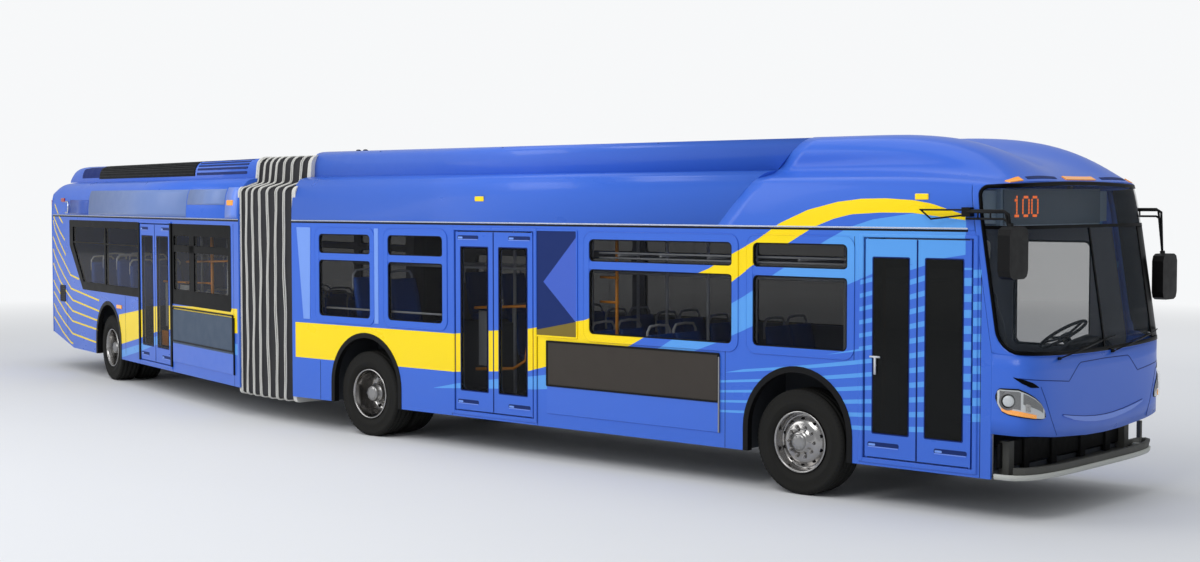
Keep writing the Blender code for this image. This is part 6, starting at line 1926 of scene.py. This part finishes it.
def shell_seats():
    window_y, aisle_y = 1.035, 0.63
    for node, section, side, first, last in (
        ("seats_right", "front", -1, -3.21, -1.08),
        ("seats_left", "front", 1, MIDDLE_AXLE_X + 0.76, -1.08),
        ("rear_seats_right", "rear", -1, -10.63, REAR_START_X - 0.44),
        ("rear_seats_left", "rear", 1, -12.43, REAR_START_X - 0.44),
    ):
        shape = Shape()
        xs = seat_places(first, last)
        for x in xs:
            for y in (window_y, aisle_y):
                seat(shape, x, side * y, FLOOR_Z)
        wall = (side * 1.222, side * 1.242)
        shape.box((min(xs) - 0.05, max(xs) + 0.42), wall, (FLOOR_Z + 0.34, FLOOR_Z + 0.39), "steel")
        z = FLOOR_Z + 0.36
        for x in xs:
            shape.tube([(x + 0.15, side * 1.235, z), (x + 0.15, side * 0.45, z)], 0.02, "steel")
        obj = shape.make(f"shell_{node}", section, slot="seat_blue")
        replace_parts(obj, node)
    shape = Shape()
    for side in (-1, 1):
        for x in (MIDDLE_AXLE_X - 0.35, MIDDLE_AXLE_X + 0.28):
            seat(shape, x, side * 0.9, 0.85)
    shape.make("wheelhouse_seats")
    shape = Shape()
    for side in (-1, 1):
        for x, floor_z in ((-14.45, 0.79), (-13.85, 0.845), (-13.2, 0.845), (-12.6, 0.79)):
            for y in (window_y, aisle_y):
                seat(shape, x, side * y, floor_z)
    shape.make("raised_floor_seats", "rear")


def inner_rails():
    shape = Shape()
    radius = trim().bar
    for x in (-2.23, -1.69, -1.09, -0.04):
        lean = 0.45
        shape.tube(
            [(x, -lean, FLOOR_Z + 0.002), (x, -lean, roof_height(lean, 0.055) - 0.002)], radius, "pole", 10
        )
        shape.tube([(x, -1.21, 2.15), (x, -lean, 2.15)], 0.012, "pole")
    for z in (2.12, 2.17):
        shape.tube([(-2.5, -1.19, z), (0.55, -1.19, z)], 0.01, "pole")
    for y in (-1.19, 1.19):
        shape.tube([(-6.8, y, 1.44), (-4.7, y, 1.44)], 0.012, "pole")
    x = -2.33
    shape.tube([(x, -1.12, FLOOR_Z + 0.01), (x, -1.12, 2.36)], radius, "door_rail", 10)
    for z in (1.67, 1.92):
        shape.tube([(x - 0.22, -1.12, z), (x + 0.02, -1.12, z)], 0.013, "door_rail")
    x = -3.6
    shape.tube(
        [
            (x, -1.1, 2.2), (x, -1.1, 1.2), (x - 0.05, -1.08, 1.0), (x - 0.25, -1.06, 0.9),
            (-4.42, -1.06, 0.86)
        ],
        radius, "door_rail", 10
    )
    shape.tube([(x, -1.1, 1.58), (-4.42, -1.08, 1.53)], 0.015, "door_rail")
    shape.slab(rectangle((-4.4, -4.06), (0.9, 1.5)), (-1.03, -1.05), "panel", 0.006)
    shape.tube([(0.845, -1.17, 0.75), (0.845, -1.17, 2.2)], radius, "door_rail", 10)
    shape.make("rails_and_screens")
    shape = Shape()
    x = -9.69
    shape.tube([(x, -1.1, FLOOR_Z + 0.01), (x, -1.1, 2.3)], 0.022, "door_rail", 10)
    shape.tube([(-10.6, -1.12, 1.86), (-8.6, -1.12, 1.93)], 0.014, "door_rail")
    shape.tube([(-10.6, -1.12, 1.58), (-9.7, -1.12, 1.6)], 0.012, "door_rail")
    for x in (-9.25, -8.86):
        shape.tube([(x, -1.05, FLOOR_Z + 0.01), (x, -1.05, 2.3)], 0.018, "pole", 10)
    shape.slab(rectangle((-11.9, -11.42), (0.9, 1.52)), (-0.95, -0.97), "pale_panel", 0.006)
    shape.slab(rectangle((-11.3, -10.86), (0.9, 1.52)), (-0.95, -0.97), "pale_panel", 0.006)
    shape.slab(rectangle((-11.9, -10.86), (0.63, 0.84)), (-1.00, -1.03), "door_rail", 0.006)
    shape.tube([(-11.9, -0.99, 1.54), (-10.86, -0.99, 1.56)], 0.015, "door_rail")
    shape.make("rear_rails_and_screens", "rear")


def driver_place():
    shape = Shape()
    reach = 1.24
    shape.box((0.8, 1.66), (0.06, reach), (FLOOR_Z + 0.002, 0.62), "covering", 0.01)
    rings = []
    for x, top, hood in (
        (1.66, 1.12, 0.5), (1.72, 1.22, 0.9), (1.82, 1.24, 1.0), (1.93, 1.22, 0.95), (1.97, 1.12, 0.6)
    ):
        ring = []
        for k in range(25):
            y = reach * k / 24
            share = (y - 0.38) / 0.8
            hump = 0.21 * hood * sin(pi * share) ** 0.55 if 0 < share < 1 else 0.0
            ring.append((x, y, top + hump))
        for k in range(24, -1, -1):
            ring.append((x, reach * k / 24, 0.44))
        rings.append(ring)
    shape.rings(rings, "black")
    rings = []
    for x, top in ((1.7, 1.08), (1.8, 1.18), (1.93, 1.2), (1.97, 1.12)):
        rings.append(
            [(x, y, top) for y in (-1.2, -0.6, -0.005)] + [(x, y, 0.96) for y in (-0.005, -0.6, -1.2)]
        )
    shape.rings(rings, "black")
    centre = Vector((1.64, 0.66, 1.45))
    tilt = radians(34)
    axis = Vector((-sin(tilt), 0, cos(tilt)))
    uphill = Vector((cos(tilt), 0, sin(tilt)))
    across = Vector((0, 1, 0))
    rim = [centre + 0.235 * (c * uphill + s * across) for c, s in circle(36)]
    shape.tube(rim, 0.0155, "black", closed=True)
    for turn in (0.15, pi - 0.15, 1.5 * pi, 0.5 * pi + 1.0):
        arm = 0.233 * (cos(turn) * across + sin(turn) * uphill * -1)
        shape.tube([centre - axis * 0.03, centre - axis * 0.015 + arm * 0.6, centre + arm], 0.012, "black", 6)
    shape.tube([centre - axis * 0.34, centre - axis * 0.02], 0.04, "black", 12)
    shape.tube([centre - axis * 0.05, centre - axis * 0.012], 0.075, "black", 16)
    shape.box((1.1, 1.25), (0.57, 0.79), (0.61, 0.98), "black", 0.01)
    place = shape.make("driver_place", slot="black_trim")
    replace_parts(place, "driver_station")
    shape = Shape()
    rings = []
    for x, drop in ((0.94, 0.03), (0.98, 0.0), (1.14, -0.012), (1.3, -0.004), (1.38, 0.03)):
        wide, tall = 0.235 * (1 - drop), 0.055 - drop * 0.5
        rings.append([(x, 0.68 + wide * c, 1.01 + tall * s) for c, s in squared_circle(16, 0.5, 0.6)])
    shape.rings(rings, "pad")
    rings = []
    for up, half, thick in (
        (1.03, 0.18, 0.035), (1.06, 0.225, 0.055), (1.3, 0.235, 0.06), (1.5, 0.225, 0.055),
        (1.62, 0.17, 0.045), (1.66, 0.13, 0.045), (1.78, 0.13, 0.04), (1.81, 0.08, 0.02),
    ):
        x = 0.94 - (up - 1.0) * 0.12
        rings.append([(x + thick * s, 0.68 + half * c, up) for c, s in squared_circle(16, 0.6, 0.8)])
    shape.rings(rings, "pad")
    pad = shape.make("driver_seat", slot="black_trim")


class BUS_OT_interior(bpy.types.Operator):
    """Fits seats, rails, panels and the driver's place"""

    bl_idname = "bus.interior"
    bl_label = "Interior"

    def execute(self, context):
        shell_seats()
        inner_rails()
        driver_place()
        return {"FINISHED"}


def fairing_patch(shape, xs, low, high, finish, proud):
    """A skin on the right flank of the rear roof cover, between two shares of its way up."""
    line = fairing_half(REAR_FAIRING_TOP)[:16]
    rings = []
    for x in xs:
        outer, inner = [], []
        for k in range(7):
            place = (low + (high - low) * k / 6) * 15
            j = min(int(place), 14)
            y, z = Vector(line[j]).lerp(Vector(line[j + 1]), place - j)
            outer.append((x, -y - proud, z + proud * 0.3))
            inner.append((x, -y + 0.002, z - 0.002))
        rings.append(outer + inner[::-1])
    shape.rings(rings, finish, soft=False)


def roof_joint(shape, x, top, finish):
    half = [(0.97, 3.0), (0.965, 3.14), (0.87, top - 0.02), (0.54, top + 0.001)]
    rings = []
    for y, z in [(-y, z) for y, z in half] + half[::-1]:
        ring = [
            (x - 0.004, y, z), (x + 0.004, y, z), (x + 0.004, y * 0.99, z - 0.01),
            (x - 0.004, y * 0.99, z - 0.01)
        ]
        rings.append(ring)
    shape.rings(rings, finish, soft=False)


def tail_point(across, z, proud):
    """A point on the rear wall at a share of its width."""
    forward = max(0.0, 1 - abs(across) ** 4) ** 0.25
    return Vector((TAIL_X - (TAIL_DEPTH + proud) * forward * 0.985, (HALF + proud) * across, z))


def tail_patch(shape, shares, foot, top, finish):
    """A patch over these shares of the rear wall's width. Its foot and top are a height and a depth."""
    rings = []
    for across in shares:
        rings.append([tail_point(across, *spot) for spot in (foot, top, (top[0], -0.02), (foot[0], -0.02))])
    shape.rings(rings, finish, soft=False)


def roof_and_tail():
    shape = Shape()
    for x in (-2.0, -4.2, -6.2):
        roof_joint(shape, x, 3.29, "black")
    for x in (-7.05, -7.18):
        for y in (-0.35, 0.35):
            shape.tube([(x, y, 3.285), (x - 0.04, y, 3.288)], 0.03, "black")
    shape.make("roof_joints")
    shape = Shape()
    fairing_patch(shape, (-15.75, -14.86), 0.16, 0.62, "seam", 0.003)
    fairing_patch(shape, (-14.86, -10.62), 0.12, 0.74, "frit", 0.004)
    for k in range(7):
        fairing_patch(shape, (-14.84, -10.64), 0.17 + 0.08 * k, 0.2 + 0.08 * k, "black", 0.01)
    # Dark blue slats at the front of the cover: painted shade in the grille's openings
    for k in range(5):
        fairing_patch(shape, (-10.54, -8.75), 0.14 + 0.125 * k, 0.2 + 0.125 * k, "navy", 0.006)
    shape.make("roof_grille", "rear")
    shape = Shape()
    # High on the rear section's right side: a darker blue patch, paler panels of painted sky reflection, and
    # a lighter strip of painted highlight at its front end
    for xs, zs, finish in (
        ((-15.41, -14.45), (2.475, 2.7), "navy_tint"),
        ((-14.42, -10.13), (2.475, 2.84), "pale_blue"),
        ((-10.1, -8.75), (2.64, 2.84), "pale_blue"),
        ((-8.72, -8.32), (2.475, 2.86), "lip"),
    ):
        levels = [zs[0] + (zs[1] - zs[0]) * k / 8 for k in range(9)]
        rings = []
        for x in xs:
            outer = [(x, -half_width(z) - 0.004, z) for z in levels]
            rings.append(outer + [(x, -half_width(z) + 0.002, z) for z in levels[::-1]])
        shape.rings(rings, finish)
    shape.make("rear_upper_panels_and_reflections", "rear")
    shape = Shape()
    for side in (-1, 1):
        for low, high, finish in (
            (0.95, 1.13, "red"), (1.16, 1.3, "amber"), (1.33, 1.47, "red"), (2.55, 2.7, "red")
        ):
            shares = [side * (0.97 - 0.3 * k / 6) for k in range(7)]
            tail_patch(shape, shares, (low, 0.012), (high, 0.012), finish)
    for k in range(12):
        z = 0.8 + 0.045 * k
        tail_patch(shape, [-0.5 + j / 8 for j in range(9)], (z, 0.01), (z + 0.022, 0.004), "black")
    shape.make("tail_lamps_and_grille", "rear")


class BUS_OT_roof(bpy.types.Operator):
    """Adds roof joints, grilles, stubs and the tail lamps"""

    bl_idname = "bus.roof"
    bl_label = "Roof and tail"

    def execute(self, context):
        roof_and_tail()
        return {"FINISHED"}


# Side and middle height of each mirror
MIRRORS = ((-1, 2.27), (1, 1.98))


def mirrors():
    y_out, arm_z = 1.46, 2.6
    shape = Shape()
    for side, z in MIRRORS:
        y = side * y_out
        outline = rounded(rectangle((y - 0.125, y + 0.125), (z - 0.185, z + 0.185)), 0.05)
        shape.rings([[(x, a, b) for a, b in outline] for x in (2.201, 2.206)], "bright", soft=False)
    shape.make("mirror_glass")
    shape = Shape()
    for side, z in MIRRORS:
        hub_y, y = side * 1.345, side * y_out
        for drop, radius in ((0.055, 0.01), (-0.012, 0.012)):
            level = arm_z - drop
            path = [(1.76, hub_y, level), (1.8, hub_y, level), (2.17, y, level), (2.22, y, level - 0.03)]
            shape.tube(path + [(2.235, y, z + 0.2)], radius, "black")
        for share in (0.3, 0.62):
            x, brace_y = 1.76 + 0.43 * share, hub_y + (y - hub_y) * share
            shape.tube([(x, brace_y, 2.545), (x, brace_y, 2.612)], 0.008, "black", 6)
        shape.tube([(2.235, y, z + 0.24), (2.245, y, z + 0.17)], 0.024, "black", 10)
    shape.make("mirror_arms")


def bumper():
    """The brackets behind the open bumper, and its bent lip."""
    shape = Shape()
    for y in (-0.75, -0.25, 0.3, 0.8):
        shape.box((1.99, 2.03), (y - 0.05, y + 0.05), (0.385, 0.66), "chassis", 0.006)
    shape.box((1.985, 2.01), (-1.2, 1.2), (0.44, 0.655), "chassis", 0.006)
    shape.make("bumper_brackets")
    shape = Shape()
    lengths, across, forward = plan_curve(4, NOSE_DEPTH)
    section = ((0.012, 0.363), (0.002, 0.378), (-0.001, 0.402), (0.006, 0.41), (0.03, 0.408), (0.034, 0.363))
    rings = []
    for k in range(61):
        along = lengths[-1] * (0.01 + 0.98 * k / 60)
        a, f = (float(np.interp(along, lengths, shares)) for shares in (across, forward))
        rings.append([(CORNER_X + (NOSE_DEPTH - inset) * f, (HALF - inset) * a, z) for inset, z in section])
    shape.rings(rings, "tray")
    shape.make("bumper_lip")


class BUS_OT_front_fittings(bpy.types.Operator):
    """Adds mirror glass, the mirror arms and the open bumper's fittings"""

    bl_idname = "bus.front_fittings"
    bl_label = "Mirrors and bumper"

    def execute(self, context):
        mirrors()
        bumper()
        return {"FINISHED"}


class BUS_PT_panel(bpy.types.Panel):
    """Lists the pieces of the bus with their sizes and colours"""

    bl_idname = "BUS_PT_panel"
    bl_label = "City Bus"
    bl_space_type = "VIEW_3D"
    bl_region_type = "UI"
    bl_category = "City Bus"

    def draw(self, context):
        layout = self.layout
        for group in (context.scene.bus_colours, context.scene.bus_sizes):
            for name in group.__annotations__:
                layout.prop(group, name)
        for operator in OPERATORS:
            layout.operator(operator.bl_idname)


OPERATORS = (
    BUS_OT_stage,
    BUS_OT_body,
    BUS_OT_skins,
    BUS_OT_windows,
    BUS_OT_side_trim,
    BUS_OT_doors,
    BUS_OT_nose,
    BUS_OT_wheels,
    BUS_OT_bellows,
    BUS_OT_interior,
    BUS_OT_roof,
    BUS_OT_front_fittings,
)
CLASSES = (BusColours, BusSizes, *OPERATORS, BUS_PT_panel)


def register():
    for group in CLASSES:
        bpy.utils.register_class(group)
    bpy.types.Scene.bus_colours = PointerProperty(type=BusColours)
    bpy.types.Scene.bus_sizes = PointerProperty(type=BusSizes)


def unregister():
    del bpy.types.Scene.bus_sizes
    del bpy.types.Scene.bus_colours
    for group in reversed(CLASSES):
        bpy.utils.unregister_class(group)


def main():
    register()
    for operator in OPERATORS:
        group, name = operator.bl_idname.split(".")
        getattr(getattr(bpy.ops, group), name)()


if __name__ == "__main__":
    main()
